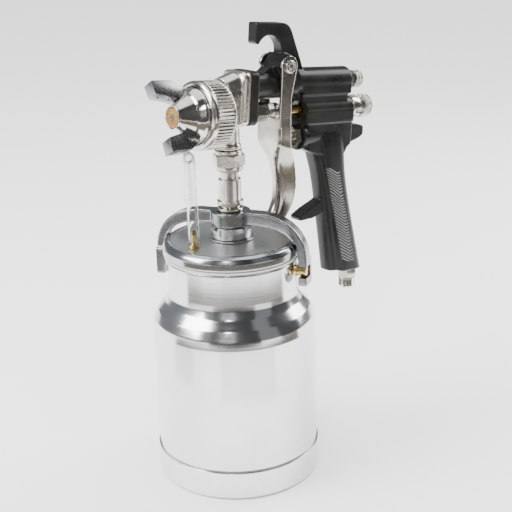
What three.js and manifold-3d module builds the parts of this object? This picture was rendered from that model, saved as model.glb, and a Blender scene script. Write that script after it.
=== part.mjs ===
// Suction-feed spray gun with a one quart cup: a three.js assembly in millimetres, +Z up.
// Frame: the origin is the middle of the cup's underside and the cup's axis is Z. The gun
// sprays towards -X, and its left side faces -Y. The barrel sits nose-up by BARREL_TILT, so
// the gun's own pieces are made in a barrel frame (x along the needle, towards the knobs)
// that one group turns and lifts into place.
import * as THREE from "three";
import { mergeVertices } from "three/addons/utils/BufferGeometryUtils.js";
import Module from "manifold-3d";

// ---- driving dimensions (mm, degrees) ----
const GAP = 0.3; // clearance between neighbouring pieces
const BARREL_TILT = 5.6; // nose-up angle of the barrel to the cup's base
const BARREL_HEIGHT = 239.6; // where the needle line crosses the cup's axis

const CUP_R = 53.3; // outside of the cup's straight wall
const CUP_BAND_R = 54.1; // base band
const CUP_BAND_TOP = 19.4;
const CUP_WALL = 1.4;
const CUP_NECK_R = 41.8;
const CUP_TOP = 149.4;
const PIN_Z = 142; // height of the cup's two bayonet pins
const PIN_R = 3.35;
const PIN_OUT = 50.4; // distance of a pin's outer end from the axis

const LID_R = 44.3;
const LID_TOP = 160;
const LID_SKIRT = 151.3; // underside of the lid's rim
const COLLAR_R = 13.1;
const COLLAR_TOP = 168.9;
const VENT_X = -29.8; // vent barb, in front of the stem

const YOKE_ANGLE = -60; // direction of the rear yoke leg, from +X about +Z
const YOKE_WIDTH = 8.6;
const YOKE_TOP = 178.4;
const YOKE_LEG_IN = 45.6;
const YOKE_LEG_OUT = 51.3;
const YOKE_FOOT = 133;
const HUB_R = 12.6;

const STEM_R = 6.4;
const SLEEVE_R = 7.2;
const PIPE_R = 5.8;
const UNION_HEX_R = 10.6;

const RING_R = 21; // retaining ring
const RING_FRONT = -25.9;
const RING_BACK = -8.3;
const CAP_FRONT = -41.4;
const HORN_ROLL = 32; // roll of the horn line about the barrel, from upright
const HORN_THICK = 8.4;

const FLANGE_FRONT = 4.8; // head flange, x along the barrel
const FLANGE_BACK = 8.2;
const BODY_FLANGE_FRONT = 9.4;
const BODY_FLANGE_BACK = 16;
const AIR_AXIS_Z = 17; // air tube in front of the hook, above the needle line
const FAN_AXIS_Z = 18.4;
const FAN_R = 8.8;
const FAN_BACK = 98.8;
const FLUID_R = 8.1;
const FLUID_BACK = 102.4;
const HOOK_WIDTH = 8.6;
const PIVOT = [39.5, 29];
const VALVE_Z = -17.5; // air valve line, below the needle line
const WINDOW = [54, 0.6];
const WINDOW_R = 5.6;
const INLET_LEAN = 5; // lean of the air inlet, from square to the barrel

const SHEET = 2; // trigger sheet thickness
const ARM_OUT = 11.4; // half of the trigger's outside width
const NEEDLE_R = 1.3;

const wasm = await Module();
wasm.setup();

// ---- solids ----
function signedVolume(pos, tri) {
  const p = (k) => new THREE.Vector3().fromArray(pos, tri[k] * 3);
  let v = 0;
  for (let k = 0; k < tri.length; k += 3) v += p(k).dot(p(k + 1).cross(p(k + 2))) / 6;
  return v;
}

function toSolid(geometry) {
  const bare = geometry.index ? geometry.toNonIndexed() : geometry.clone();
  bare.deleteAttribute("normal");
  bare.deleteAttribute("uv");
  const merged = mergeVertices(bare, 1e-4);
  const all = merged.index.array;
  const tri = [];
  for (let k = 0; k < all.length; k += 3) {
    const [a, b, c] = [all[k], all[k + 1], all[k + 2]];
    if (a !== b && b !== c && a !== c) tri.push(a, b, c);
  }
  const vertProperties = merged.attributes.position.array;
  if (signedVolume(vertProperties, tri) < 0) tri.reverse();
  const mesh = new wasm.Mesh({ numProp: 3, vertProperties, triVerts: new Uint32Array(tri) });
  return new wasm.Manifold(mesh);
}

function toGeometry(body) {
  const mesh = body.getMesh();
  const geometry = new THREE.BufferGeometry();
  const pos = new THREE.BufferAttribute(Float32Array.from(mesh.vertProperties), 3);
  geometry.setAttribute("position", pos);
  geometry.setIndex(Array.from(mesh.triVerts));
  return geometry.toNonIndexed();
}

function join(first, ...rest) {
  return toGeometry(rest.reduce((sum, g) => sum.add(toSolid(g)), toSolid(first)));
}

function cut(first, ...tools) {
  return toGeometry(tools.reduce((left, g) => left.subtract(toSolid(g)), toSolid(first)));
}

function common(a, b) {
  return toGeometry(toSolid(a).intersect(toSolid(b)));
}

// ---- shapes ----
const X = new THREE.Vector3(1, 0, 0);
const Y = new THREE.Vector3(0, 1, 0);
const Z = new THREE.Vector3(0, 0, 1);
const vec = (p) => new THREE.Vector3(...p);

// A turned piece about Z (or X): profile points are [radius, distance along the axis].
function turned(profile, axis = "z", sides = 16) {
  const points = profile.map(([r, h]) => new THREE.Vector2(r, h));
  if (profile[0][0] > 0) points.push(points[0].clone());
  const g = new THREE.LatheGeometry(points, sides);
  return axis === "z" ? g.rotateX(Math.PI / 2) : g.rotateZ(-Math.PI / 2);
}

function rod(radius, from, to, sides = 12) {
  const [a, b] = [vec(from), vec(to)];
  const g = new THREE.CylinderGeometry(radius, radius, a.distanceTo(b), sides);
  g.applyQuaternion(new THREE.Quaternion().setFromUnitVectors(Y, b.clone().sub(a).normalize()));
  return g.translate(...a.add(b).multiplyScalar(0.5).toArray());
}

function pipe(outer, inner, from, to, axis = "z", sides = 16) {
  return turned([[inner, from], [outer, from], [outer, to], [inner, to]], axis, sides);
}

function box(x0, x1, y0, y1, z0, z1) {
  const g = new THREE.BoxGeometry(x1 - x0, y1 - y0, z1 - z0);
  return g.translate((x0 + x1) / 2, (y0 + y1) / 2, (z0 + z1) / 2);
}

function extrude(shape, depth, basis, steps) {
  const g = new THREE.ExtrudeGeometry(shape, { depth, bevelEnabled: false, curveSegments: steps });
  return g.applyMatrix4(basis);
}

// A side-view outline in x and z, with its thickness along y from y0 to y1.
function sideSlab(shape, y0, y1, steps = 6) {
  const basis = new THREE.Matrix4().makeBasis(X, Z, Y.clone().negate()).setPosition(0, y1, 0);
  return extrude(shape, y1 - y0, basis, steps);
}

// A front-view outline in y and z, with its thickness along x from x0 to x1.
function frontSlab(shape, x0, x1, steps = 4) {
  return extrude(shape, x1 - x0, new THREE.Matrix4().makeBasis(Y, Z, X).setPosition(x0, 0, 0), steps);
}

function outline(points) {
  return new THREE.Shape(points.map(([a, b]) => new THREE.Vector2(a, b)));
}

function roundedRect(halfWidth, low, high, radius) {
  const s = new THREE.Shape();
  const w = halfWidth;
  s.moveTo(-w + radius, low).lineTo(w - radius, low);
  s.quadraticCurveTo(w, low, w, low + radius).lineTo(w, high - radius);
  s.quadraticCurveTo(w, high, w - radius, high).lineTo(-w + radius, high);
  s.quadraticCurveTo(-w, high, -w, high - radius).lineTo(-w, low + radius);
  s.quadraticCurveTo(-w, low, -w + radius, low);
  return s;
}

// A closed skin through rings of points that all have the same count, capped at both ends.
function loft(rings) {
  const n = rings[0].length;
  const pos = rings.flat().flatMap((p) => p.toArray());
  const index = [];
  for (let k = 0; k + 1 < rings.length; k++)
    for (let i = 0; i < n; i++) {
      const [a, b] = [k * n + i, k * n + ((i + 1) % n)];
      index.push(a, b, b + n, a, b + n, a + n);
    }
  const cap = capTriangles(rings[0]);
  const last = (rings.length - 1) * n;
  for (const [a, b, c] of cap) index.push(a, c, b, last + a, last + b, last + c);
  const g = new THREE.BufferGeometry();
  g.setAttribute("position", new THREE.Float32BufferAttribute(pos, 3));
  g.setIndex(index);
  return g;
}

function capTriangles(ring) {
  const middle = ring.reduce((s, p) => s.add(p), new THREE.Vector3()).divideScalar(ring.length);
  const normal = new THREE.Vector3();
  for (let i = 0; i < ring.length; i++) {
    const [a, b] = [ring[i].clone().sub(middle), ring[(i + 1) % ring.length].clone().sub(middle)];
    normal.add(a.cross(b));
  }
  const u = new THREE.Vector3().crossVectors(Math.abs(normal.z) > Math.abs(normal.x) ? X : Z, normal);
  u.normalize();
  const v = new THREE.Vector3().crossVectors(normal, u).normalize();
  const flat = ring.map((p) => new THREE.Vector2(p.dot(u), p.dot(v)));
  return THREE.ShapeUtils.triangulateShape(flat, []);
}

class Helix extends THREE.Curve {
  constructor(radius, from, to, turns) {
    super();
    Object.assign(this, { radius, from, to, turns });
  }
  getPoint(t, target = new THREE.Vector3()) {
    const a = 2 * Math.PI * this.turns * t;
    const along = this.from + (this.to - this.from) * t;
    return target.set(along, this.radius * Math.cos(a), this.radius * Math.sin(a));
  }
}

function coil(radius, wire, from, to, turns) {
  const section = new THREE.Shape().absarc(0, 0, wire / 2, 0, 2 * Math.PI, false);
  const extrudePath = new Helix(radius, from + wire / 2, to - wire / 2, turns);
  const options = { steps: turns * 7, extrudePath, curveSegments: 2, bevelEnabled: false };
  return new THREE.ExtrudeGeometry(section, options);
}

// ---- materials ----
const finish = (color, roughness, metalness) => ({ color, roughness, metalness });
const NICKEL = finish(0xc8c3b8, 0.22, 1);
const CHROME = finish(0xd6d2c8, 0.12, 1);
const ALUMINIUM = finish(0xb9bbbd, 0.34, 1);
const CAST = finish(0x9a9c9e, 0.55, 1);
const BRASS = finish(0xb48a45, 0.28, 1);
const STEEL = finish(0x9b9c9c, 0.35, 1);
const BLACK = finish(0x161616, 0.38, 0);
const VINYL = finish(0xdfe8e4, 0.15, 0);
const RUBBER = finish(0xdad7cd, 0.7, 0);
const FIBRE = finish(0x4a3a2c, 0.8, 0);

function piece(group, name, geometry, look) {
  const bare = geometry.index ? geometry.toNonIndexed() : geometry;
  bare.computeVertexNormals();
  const mesh = new THREE.Mesh(bare, new THREE.MeshStandardMaterial(look));
  mesh.name = name;
  group.add(mesh);
}

const rad = THREE.MathUtils.degToRad;

// ---- the cup ----
function cupShell() {
  const w = CUP_WALL;
  const outer = [[0, 0], [52.6, 0], [CUP_BAND_R, 1.4], [CUP_BAND_R, CUP_BAND_TOP]];
  outer.push([CUP_R, 20.2], [CUP_R, 104], [52.4, 109.4], [49.4, 115], [44.6, 120.6]);
  outer.push([42.4, 125], [CUP_NECK_R, 128.5], [CUP_NECK_R, 147.4]);
  outer.push([43.4, 147.9], [43.4, CUP_TOP]);
  const inner = [[CUP_NECK_R - w, CUP_TOP], [CUP_NECK_R - w, 128.2], [41.2, 124.2], [43.4, 119.8]];
  inner.push([48.2, 114.2], [51.1, 108.9], [CUP_R - w, 103.6]);
  inner.push([CUP_R - w, 3.4], [50.4, 1.9], [0, 1.9]);
  const hole = rod(2.3, [38, 0, PIN_Z], [44, 0, PIN_Z], 12);
  const holes = [0, 180].map((turn) => hole.clone().rotateZ(rad(YOKE_ANGLE + turn)));
  return cut(turned([...outer, ...inner], "z", 30), ...holes);
}

// A bayonet pin: its tail goes through the neck wall, and its collar sits against the wall.
function cupPin(turn) {
  const r = PIN_R;
  const profile = [[0, 39.9], [2, 39.9], [2, 42.2], [4, 42.2], [4, 44.7], [r, 45], [r, 49.9]];
  profile.push([r - 0.5, PIN_OUT], [0, PIN_OUT]);
  return turned(profile, "x", 16).translate(0, 0, PIN_Z).rotateZ(rad(YOKE_ANGLE + turn));
}

// ---- the lid and what stands on it ----
function lidCover() {
  const profile = [[STEM_R + 0.8, 155.5], [STEM_R + 0.8, LID_TOP], [38.7, LID_TOP], [39.3, 160.5]];
  profile.push([40.4, 160.5], [42.3, 159.6], [43.8, 157.8], [LID_R, 155.5], [LID_R, 152.4]);
  profile.push([43.5, LID_SKIRT], [36, LID_SKIRT], [36, 155.5]);
  return cut(turned(profile, "z", 30), rod(2.1, [VENT_X, 0, 150], [VENT_X, 0, 165]));
}

// The collar's top has two ramps, half a turn apart, that the yoke's hub rides on.
function camCollar() {
  const ring = pipe(COLLAR_R, STEM_R + 0.5, 161.5, COLLAR_TOP, "z", 20);
  const step = (turn) => {
    const wedge = outline([[0, 0], [COLLAR_R + 2, 0], [COLLAR_R + 2, COLLAR_R + 2], [0, COLLAR_R + 2]]);
    const g = new THREE.ExtrudeGeometry(wedge, { depth: 6, bevelEnabled: false });
    return g.translate(0, 0, COLLAR_TOP - 1.8).rotateZ(rad(YOKE_ANGLE - 20 + turn));
  };
  return cut(ring, step(0), step(180));
}

function ventBarb() {
  const tail = [[1, 155], [1.8, 155], [1.8, 160.3], [3.6, 160.3], [3.6, 162.6], [1.6, 162.8]];
  const ridges = [[1.6, 164.6], [1.95, 165.2], [1.6, 168], [1.95, 168.6], [1.4, 171.6]];
  return turned([...tail, ...ridges, [1, 171.6]], "z", 12).translate(VENT_X, 0, 0);
}

// A clear hose on the barb, preformed to a hairpin so that paint can't splash out of the vent.
function ventTube() {
  const [reachX, reachY] = [7.4, 13.2];
  const at = (f, z) => new THREE.Vector3(VENT_X + reachX * f, reachY * f, z);
  const over = (a) => at(0.5 - 0.46 * Math.cos(a), 208.9 + 6.9 * Math.sin(a));
  const points = [at(0, 163.1), at(0, 172), at(0.01, 186), at(0.03, 200)];
  for (const a of [0, 0.6, 1.2, 1.94, 2.54, Math.PI]) points.push(over(a));
  points.push(at(0.98, 203), at(1, 195), at(1, 187));
  const section = new THREE.Shape().absarc(0, 0, 3.6, 0, 2 * Math.PI, false);
  section.holes.push(new THREE.Path().absarc(0, 0, 2.5, 0, 2 * Math.PI, true));
  const extrudePath = new THREE.CatmullRomCurve3(points);
  const options = { steps: 15, extrudePath, curveSegments: 3, bevelEnabled: false };
  return new THREE.ExtrudeGeometry(section, options);
}

function fluidStem() {
  const lower = [[5.2, 143], [STEM_R, 143], [STEM_R, 182.3], [7.6, 182.5], [8.4, 183.1], [8.4, 184.9]];
  const upper = [[SLEEVE_R, 185.6], [SLEEVE_R, 198.8], [6.6, 199.3], [PIPE_R, 199.4], [PIPE_R, 206.9]];
  const flare = [[6.7, 208.2], [6.7, 210.5], [5.2, 213.2], [4, 213.2]];
  return turned([...lower, ...upper, ...flare, [4, 150.2], [5.2, 150.2]]);
}

function hexNut(radius, from, to, bore, axis = "z") {
  const blank = new THREE.CylinderGeometry(radius, radius, to - from, 6).translate(0, (from + to) / 2, 0);
  const turnedBlank = axis === "z" ? blank.rotateX(Math.PI / 2) : blank.rotateZ(-Math.PI / 2);
  const c = radius * 0.13;
  const rim = [[0, from], [radius - c, from], [radius, from + c * 0.6], [radius, to - c * 0.6]];
  const chamfered = common(turnedBlank, turned([...rim, [radius - c, to], [0, to]], axis, 12));
  return cut(chamfered, pipeBore(bore, from, to, axis));
}

function pipeBore(radius, from, to, axis) {
  const along = (h) => (axis === "z" ? [0, 0, h] : [h, 0, 0]);
  return rod(radius, along(from - 1), along(to + 1), 12);
}

function unionNut() {
  const lower = pipe(8.8, 7, 204.2, 207.6);
  const lip = pipe(8.8, PIPE_R + 0.35, 204.2, 206.5);
  const upper = pipe(8.7, 7, 214.8, 217.5);
  return join(hexNut(UNION_HEX_R, 207.4, 215, 7), lower, lip, upper);
}

// ---- the yoke ----
// One half of the yoke, from the hub out to a slotted leg, in the plane of +X.
function yokeHalf() {
  const arc = (cx, cz, a, b, power, from, to) => {
    const points = [];
    for (let k = from; k !== to; k += Math.sign(to - from)) {
      const t = (k / 8) * (Math.PI / 2);
      points.push([cx + a * Math.sin(t) ** (2 / power), cz + b * Math.cos(t) ** (2 / power)]);
    }
    return points;
  };
  const top = [[0, YOKE_TOP], ...arc(20, 150, YOKE_LEG_OUT - 20, YOKE_TOP - 150, 2.1, 0, 9)];
  const under = arc(18, 149, YOKE_LEG_IN - 18, 21, 2.4, 8, -1);
  const points = [...top, [YOKE_LEG_OUT, 150], [YOKE_LEG_IN, 150], ...under, [0, 170]];
  const bar = sideSlab(outline(points), -YOKE_WIDTH / 2, YOKE_WIDTH / 2);
  // The foot carries the pin's slot, open at the side that faces away from the tightening turn.
  const foot = box(YOKE_LEG_IN, YOKE_LEG_OUT, -YOKE_WIDTH / 2, 7, YOKE_FOOT, 150.2);
  const slotTop = PIN_Z + PIN_R + 0.5;
  const slotLow = PIN_Z - PIN_R - 0.5;
  const slot = box(YOKE_LEG_IN - 1, YOKE_LEG_OUT + 1, -9, PIN_R + 0.6, slotLow, slotTop);
  return join(bar, cut(foot, slot));
}

function yoke() {
  const rim = [[HUB_R, YOKE_TOP - 0.8], [HUB_R - 0.8, YOKE_TOP], [0, YOKE_TOP]];
  const hub = turned([[0, 169.4], [HUB_R, 169.4], ...rim]);
  const both = join(hub, yokeHalf(), yokeHalf().rotateZ(Math.PI));
  return cut(both, rod(STEM_R + 0.5, [0, 0, 160], [0, 0, 190], 20)).rotateZ(rad(YOKE_ANGLE));
}

// ---- the spray head, in the barrel frame ----
// Heights above the cup's base, on the cup's axis, as points of the barrel frame.
function onCupAxis(z) {
  const d = z - BARREL_HEIGHT;
  return [-d * Math.sin(rad(BARREL_TILT)), 0, d * Math.cos(rad(BARREL_TILT))];
}

function neckPiece(profile, sides) {
  const g = turned(profile, "z", sides).translate(0, 0, -BARREL_HEIGHT);
  return g.rotateY(rad(-BARREL_TILT));
}

function fluidHead() {
  const thread = [[0, -20.6], [17.8, -20.6], [18.6, -19.8], [18.6, -8.7], [14.8, -8.7]];
  const barrel = turned([...thread, [14.8, -3], [0, -3]], "x", 20);
  const block = frontSlab(roundedRect(9.6, -8, 16, 4), -8, FLANGE_FRONT + 0.2);
  const flange = frontSlab(roundedRect(11, -7, 26.4, 4.5), FLANGE_FRONT, FLANGE_BACK);
  const tube = rod(9, [-5.2, 0, 13.6], [FLANGE_FRONT + 0.6, 0, AIR_AXIS_Z], 16);
  const neck = [[0, 213.9], [6.7, 213.9], [6.7, 217.8], [8.1, 218.2], [8.1, 220.6], [7.4, 221.4]];
  const boss = neckPiece([...neck, [7.4, BARREL_HEIGHT - 2], [0, BARREL_HEIGHT - 2]], 14);
  const solid = join(barrel, block, flange, tube, boss);
  const needleBore = rod(3.3, [-24, 0, 0], [1, 0, 0]);
  const nozzleBore = rod(5.7, [-24, 0, 0], [-14.7, 0, 0]);
  const nutBore = rod(4.5, [0.6, 0, 0], [12, 0, 0]);
  const feed = rod(3.2, onCupAxis(212), onCupAxis(BARREL_HEIGHT));
  const air = rod(2.8, [-24, 0, 12.4], [9, 0, AIR_AXIS_Z]);
  return cut(solid, needleBore, nozzleBore, nutBore, feed, air);
}

function headGasket() {
  const sheet = frontSlab(roundedRect(10.8, -6.8, 26.2, 4.5), FLANGE_BACK + GAP, BODY_FLANGE_FRONT - GAP);
  const air = rod(3.4, [5, 0, AIR_AXIS_Z], [15, 0, AIR_AXIS_Z]);
  return cut(sheet, rod(4.5, [5, 0, 0], [15, 0, 0]), air);
}

function fluidNozzle() {
  const outer = [[1.1, -41.9], [1.6, -41.9], [1.6, -38], [2.4, -37.2], [2.4, -34], [7, -27], [8.6, -26]];
  const back = [[8.6, -20.9], [5.4, -20.9], [5.4, -15], [3.3, -15], [3.3, -25], [1.1, -39.6]];
  return turned([...outer, ...back], "x", 16);
}

function hornSolid() {
  const side = [[-28, 14], [-30, 17.6], [-36.6, 22], [-50.8, 22.3], [-51.2, 21.8], [-50.7, 13.8]];
  const half = HORN_THICK / 2;
  return sideSlab(outline([...side, [-40, 11.4], [-37, 9.8], [-32, 12]]), -half, half);
}

function airCap() {
  const front = [[6.5, CAP_FRONT], [7.1, CAP_FRONT], [7.4, -40.6], [12.9, -32], [14.2, -31]];
  const rim = [[16.7, -28.2], [17.2, -27], [17.2, -23.9], [18.4, -23.4], [18.4, -20.9], [15.6, -20.9]];
  const inner = [[15.6, -26], [10.4, -30.6], [6.2, -36.4], [5, -37], [5, -38.4], [6.5, -38.4]];
  const cone = turned([...front, ...rim, ...inner], "x", 20);
  const horn = hornSolid();
  const solid = join(cone, horn.clone(), horn.clone().rotateX(Math.PI));
  const drill = (turn) => [
    rod(1.3, [-24, 0, 14.6], [-49.2, 0, 17], 8).rotateX(turn),
    rod(0.8, [-45.8, 0, 17], [-48.2, 0, 9.5], 6).rotateX(turn),
    rod(0.8, [-38.6, 0, 16.2], [-41, 0, 8.2], 6).rotateX(turn),
  ];
  return cut(solid, ...drill(0), ...drill(Math.PI)).rotateX(rad(-HORN_ROLL));
}

function capInsert() {
  const disc = turned([[2, -41.6], [5.8, -41.6], [6.2, -41.2], [6.2, -38.7], [2, -38.7]], "x", 20);
  const jet = (y, z) => rod(0.5, [-43, y, z], [-38, y, z], 6);
  return cut(disc, jet(2.9, 2.9), jet(4, 1.4), jet(-2.9, -2.9), jet(-4, -1.4));
}

function retainingRing() {
  const [r, f, b] = [RING_R, RING_FRONT, RING_BACK];
  const lip = [[17.7, f + 0.3], [17.9, f], [19.6, f], [20.7, f + 0.8], [r, f + 1.8], [r, f + 3.3]];
  const skirt = [[r - 0.6, f + 3.8], [r - 0.2, f + 4.2], [r - 0.2, b - 1.2], [r - 0.7, b]];
  return turned([...lip, ...skirt, [19.1, b], [19.1, -23.7], [17.7, -24.1]], "x", 28);
}

// ---- needle line ----
function needle() {
  const tip = [[0, -41.8], [0.6, -41.1], [0.75, -39.3], [NEEDLE_R, -35]];
  return turned([...tip, [NEEDLE_R, 57.6], [0, 57.6]], "x", 12);
}

function packingNut() {
  const shank = pipe(4.2, 1.65, 0.9, 16.6, "x", 16);
  const collar = pipe(5.1, 1.65, BODY_FLANGE_BACK + GAP, 21, "x", 16);
  return join(shank, collar, hexNut(6.2, 20.8, 30, 1.65, "x"));
}

function needleCollar() {
  const ring = turned([[1.6, 36], [5.2, 36], [5.5, 36.3], [5.5, 39.1], [5.2, 39.4], [1.6, 39.4]], "x", 18);
  return cut(ring, rod(1.1, [37.7, 0, 0.9], [37.7, -6, 5.1], 8));
}

function needleSleeve() {
  const outer = [[1.6, 46], [2.9, 46], [3.3, 46.5], [3.3, 67.3], [5.4, 67.6], [5.4, 69], [0, 69]];
  return turned([...outer, [0, 58], [1.6, 58]], "x", 16);
}

function fluidBushing() {
  const face = FLUID_BACK + GAP;
  const thread = [[5.5, 95], [6.6, 95], [6.6, face]];
  const head = [[7.4, face], [7.8, face + 0.4], [7.8, 109.2], [7.4, 109.6], [5.5, 109.6]];
  const slot = (a) => box(105, 111, -1.5, 1.5, 4, 9).rotateX(a);
  const slots = [0, 90, 180, 270].map((turn) => slot(rad(turn)));
  return cut(turned([...thread, ...head], "x", 16), ...slots);
}

function fluidKnob() {
  const shank = [[4.5, 96], [5.2, 96], [5.2, 113.8]];
  const head = [[7.4, 113.8], [7.8, 114.2], [7.8, 120.4], [7.1, 121.1], [0, 121.1], [0, 119], [4.5, 119]];
  return turned([...shank, ...head], "x", 16);
}

// ---- fan control ----
function fanBushing() {
  const thread = pipe(4.7, 3, 91, 99.4, "x", 16);
  return join(thread, hexNut(6.4, FAN_BACK + GAP, 104.2, 3, "x")).translate(0, 0, FAN_AXIS_Z);
}

function fanPlug() {
  const profile = [[0, 55.3], [1.8, 55.9], [4.6, 58.9], [4.6, 65.6], [1.9, 65.6], [1.9, 60], [0, 60]];
  return turned(profile, "x", 16).translate(0, 0, FAN_AXIS_Z);
}

function fanKnob() {
  const stem = [[0, 60.6], [1.5, 60.6], [1.5, 66], [2.7, 66.4], [2.7, 105.2]];
  const head = [[5.5, 105.2], [5.9, 105.6], [5.9, 111.5], [5.3, 112.1], [0, 112.1]];
  return turned([...stem, ...head], "x", 14).translate(0, 0, FAN_AXIS_Z);
}

// ---- gun body ----
function hookShape() {
  const s = new THREE.Shape();
  s.moveTo(17, 43.2).lineTo(17, 53.6).quadraticCurveTo(17, 55.4, 18.8, 55.4);
  s.lineTo(37.4, 55.4).quadraticCurveTo(43.8, 55.4, 46.4, 49.8);
  s.lineTo(58.4, 25).lineTo(57, 14).lineTo(24, 14).lineTo(24, 23);
  s.quadraticCurveTo(27, 25.5, 28.6, 27.9);
  s.absarc(28.6, 37.8, 9.9, -Math.PI / 2, Math.PI * 0.86, false);
  s.quadraticCurveTo(18.9, 41.4, 17, 43.2);
  return s;
}

function gripRing(z, middle, halfDepth, halfWidth, drop) {
  const points = [];
  for (let i = 0; i < 16; i++) {
    const a = ((i + 0.5) / 16) * 2 * Math.PI;
    const [c, s] = [Math.cos(a), Math.sin(a)];
    const u = Math.sign(c) * Math.abs(c) ** 0.78 * halfDepth;
    const v = Math.sign(s) * Math.abs(s) ** 0.72 * halfWidth;
    points.push(new THREE.Vector3(middle + u, v, z - drop * (u / halfDepth)));
  }
  return points;
}

function grip() {
  const rings = [[-18, 82.5, 16, 8.6, 0], [-32, 85.4, 13.8, 9.2, 1], [-44, 88.4, 12.6, 9.5, 2]];
  rings.push([-60, 92.6, 12.7, 9.7, 2.4], [-88, 100.2, 13.8, 10.1, 2], [-113.6, 107.1, 14.8, 10.4, 0]);
  return loft(rings.map((r) => gripRing(...r)));
}

function fingerSpur() {
  const s = new THREE.Shape();
  s.moveTo(88, -58).quadraticCurveTo(79, -63.4, 71, -66.6).quadraticCurveTo(63, -68.6, 61.6, -71.4);
  s.quadraticCurveTo(61.8, -74.2, 66, -74.4).quadraticCurveTo(76, -73.8, 83, -71).lineTo(90, -74);
  return sideSlab(s, -4.6, 4.6);
}

function handleBlock() {
  const s = new THREE.Shape();
  s.moveTo(62, -4).lineTo(62, -26.4).quadraticCurveTo(66, -28.6, 71, -29);
  s.lineTo(98, -30).quadraticCurveTo(99.4, -26, 102, -24).lineTo(102, -4);
  const under = [[116.8, -19.4], [113, -21.4], [103, -24.4], [96, -28]];
  const tang = outline([[96, -11.4], [112, -12], [116.4, -13], ...under]);
  return join(sideSlab(s, -8, 8), sideSlab(tang, -4.4, 4.4));
}

function bodyBores() {
  const z = FAN_AXIS_Z;
  const leg = (y) => rod(1.5, [63, y, VALVE_Z], [63, y, z], 8);
  return [
    rod(4.5, [6, 0, 0], [20, 0, 0], 14),
    rod(3, [6, 0, AIR_AXIS_Z], [56, 0, AIR_AXIS_Z], 12),
    rod(5, [55, 0, z], [102, 0, z]),
    rod(3.7, [40, 0, 0], [68, 0, 0]),
    rod(6.9, [67, 0, 0], [106, 0, 0]),
    rod(WINDOW_R, [WINDOW[0], -12, WINDOW[1]], [WINDOW[0], 12, WINDOW[1]], 16),
    rod(6.6, [52, 0, VALVE_Z], [71, 0, VALVE_Z]),
    rod(5, [69, 0, VALVE_Z], [94, 0, VALVE_Z]),
    rod(2.7, [PIVOT[0], -12, PIVOT[1]], [PIVOT[0], 12, PIVOT[1]]),
    leg(5.3), leg(-5.3),
  ];
}

function inletPoint(d) {
  const a = rad(INLET_LEAN);
  return [114.6 + d * Math.sin(a), 0, -115.5 - d * Math.cos(a)];
}

function gunBody() {
  const flange = frontSlab(roundedRect(11.3, -7.2, 26.6, 5), BODY_FLANGE_FRONT, BODY_FLANGE_BACK);
  const frontTube = rod(8.6, [12, 0, AIR_AXIS_Z - 0.3], [52, 0, AIR_AXIS_Z - 0.3], 18);
  const pivotBoss = rod(6.2, [PIVOT[0], -8.9, PIVOT[1]], [PIVOT[0], 8.9, PIVOT[1]], 16);
  const hook = sideSlab(hookShape(), -HOOK_WIDTH / 2, HOOK_WIDTH / 2, 6);
  const fanBack = [[FAN_R, FAN_BACK - 0.8], [FAN_R - 0.8, FAN_BACK], [0, FAN_BACK]];
  const fan = turned([[0, 46], [6, 46], [FAN_R, 52], ...fanBack], "x");
  const fluidBack = [[FLUID_R, FLUID_BACK - 0.5], [FLUID_R - 0.5, FLUID_BACK], [0, FLUID_BACK]];
  const fluid = turned([[0, 57], [FLUID_R, 58.5], ...fluidBack], "x");
  const web = box(50, 97.4, -6.6, 6.6, 2, 16);
  const eye = rod(8.8, [WINDOW[0], -4.7, WINDOW[1]], [WINDOW[0], 4.7, WINDOW[1]], 16);
  const eyeLinks = box(47.4, 60, -5.9, 5.9, 1, 15);
  const valveBoss = rod(9.3, [58, 0, VALVE_Z], [76, 0, VALVE_Z], 16);
  const valveLink = box(58.2, 64, -5.9, 5.9, -14, 0);
  const tubes = [frontTube, fan.translate(0, 0, FAN_AXIS_Z), fluid, web];
  const bosses = [pivotBoss, hook, eye, eyeLinks, valveBoss, valveLink];
  const solid = join(flange, ...tubes, ...bosses, handleBlock(), grip(), fingerSpur());
  const airway = rod(3, inletPoint(6), [87.6, 0, VALVE_Z - 1], 10);
  const inlet = rod(5.3, inletPoint(6), inletPoint(-9));
  return cut(solid, ...bodyBores(), airway, inlet);
}

// ---- air valve and inlet ----
function valveGland() {
  const nose = turned([[2, 46.5], [3.4, 46.5], [4.5, 47.8], [4.5, 52.6], [2, 52.6]], "x", 12);
  const thread = pipe(6.2, 2, 57, 70.4, "x", 14);
  const body = join(nose, hexNut(7.9, 52, 57.7, 2, "x"), thread);
  const ports = rod(1.4, [63, -9, 0], [63, 9, 0], 8);
  return cut(body, ports, pipeBore(3.2, 62, 71.4, "x")).translate(0, 0, VALVE_Z);
}

function valveStem() {
  const pin = [[0, 36.6], [1.2, 36.6], [1.6, 37], [1.6, 70.7]];
  const poppet = [[4.4, 70.7], [4.4, 73.6], [1.8, 74], [1.8, 78], [0, 78]];
  return turned([...pin, ...poppet], "x", 14).translate(0, 0, VALVE_Z);
}

function inletNipple() {
  const hex = hexNut(7, -0.9, 5.6, 3, "z");
  const thread = pipe(5, 3, -7.5, 1.6, "z", 14);
  const end = [[5.6, 7], [5.6, 13], [5.1, 13.6], [3, 13.6]];
  const spigot = turned([[3, 5.4], [4.8, 5.4], [4.8, 6.6], ...end], "z", 14);
  const g = join(hex, thread, spigot).rotateY(Math.PI - rad(INLET_LEAN));
  return g.translate(...inletPoint(0));
}

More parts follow.
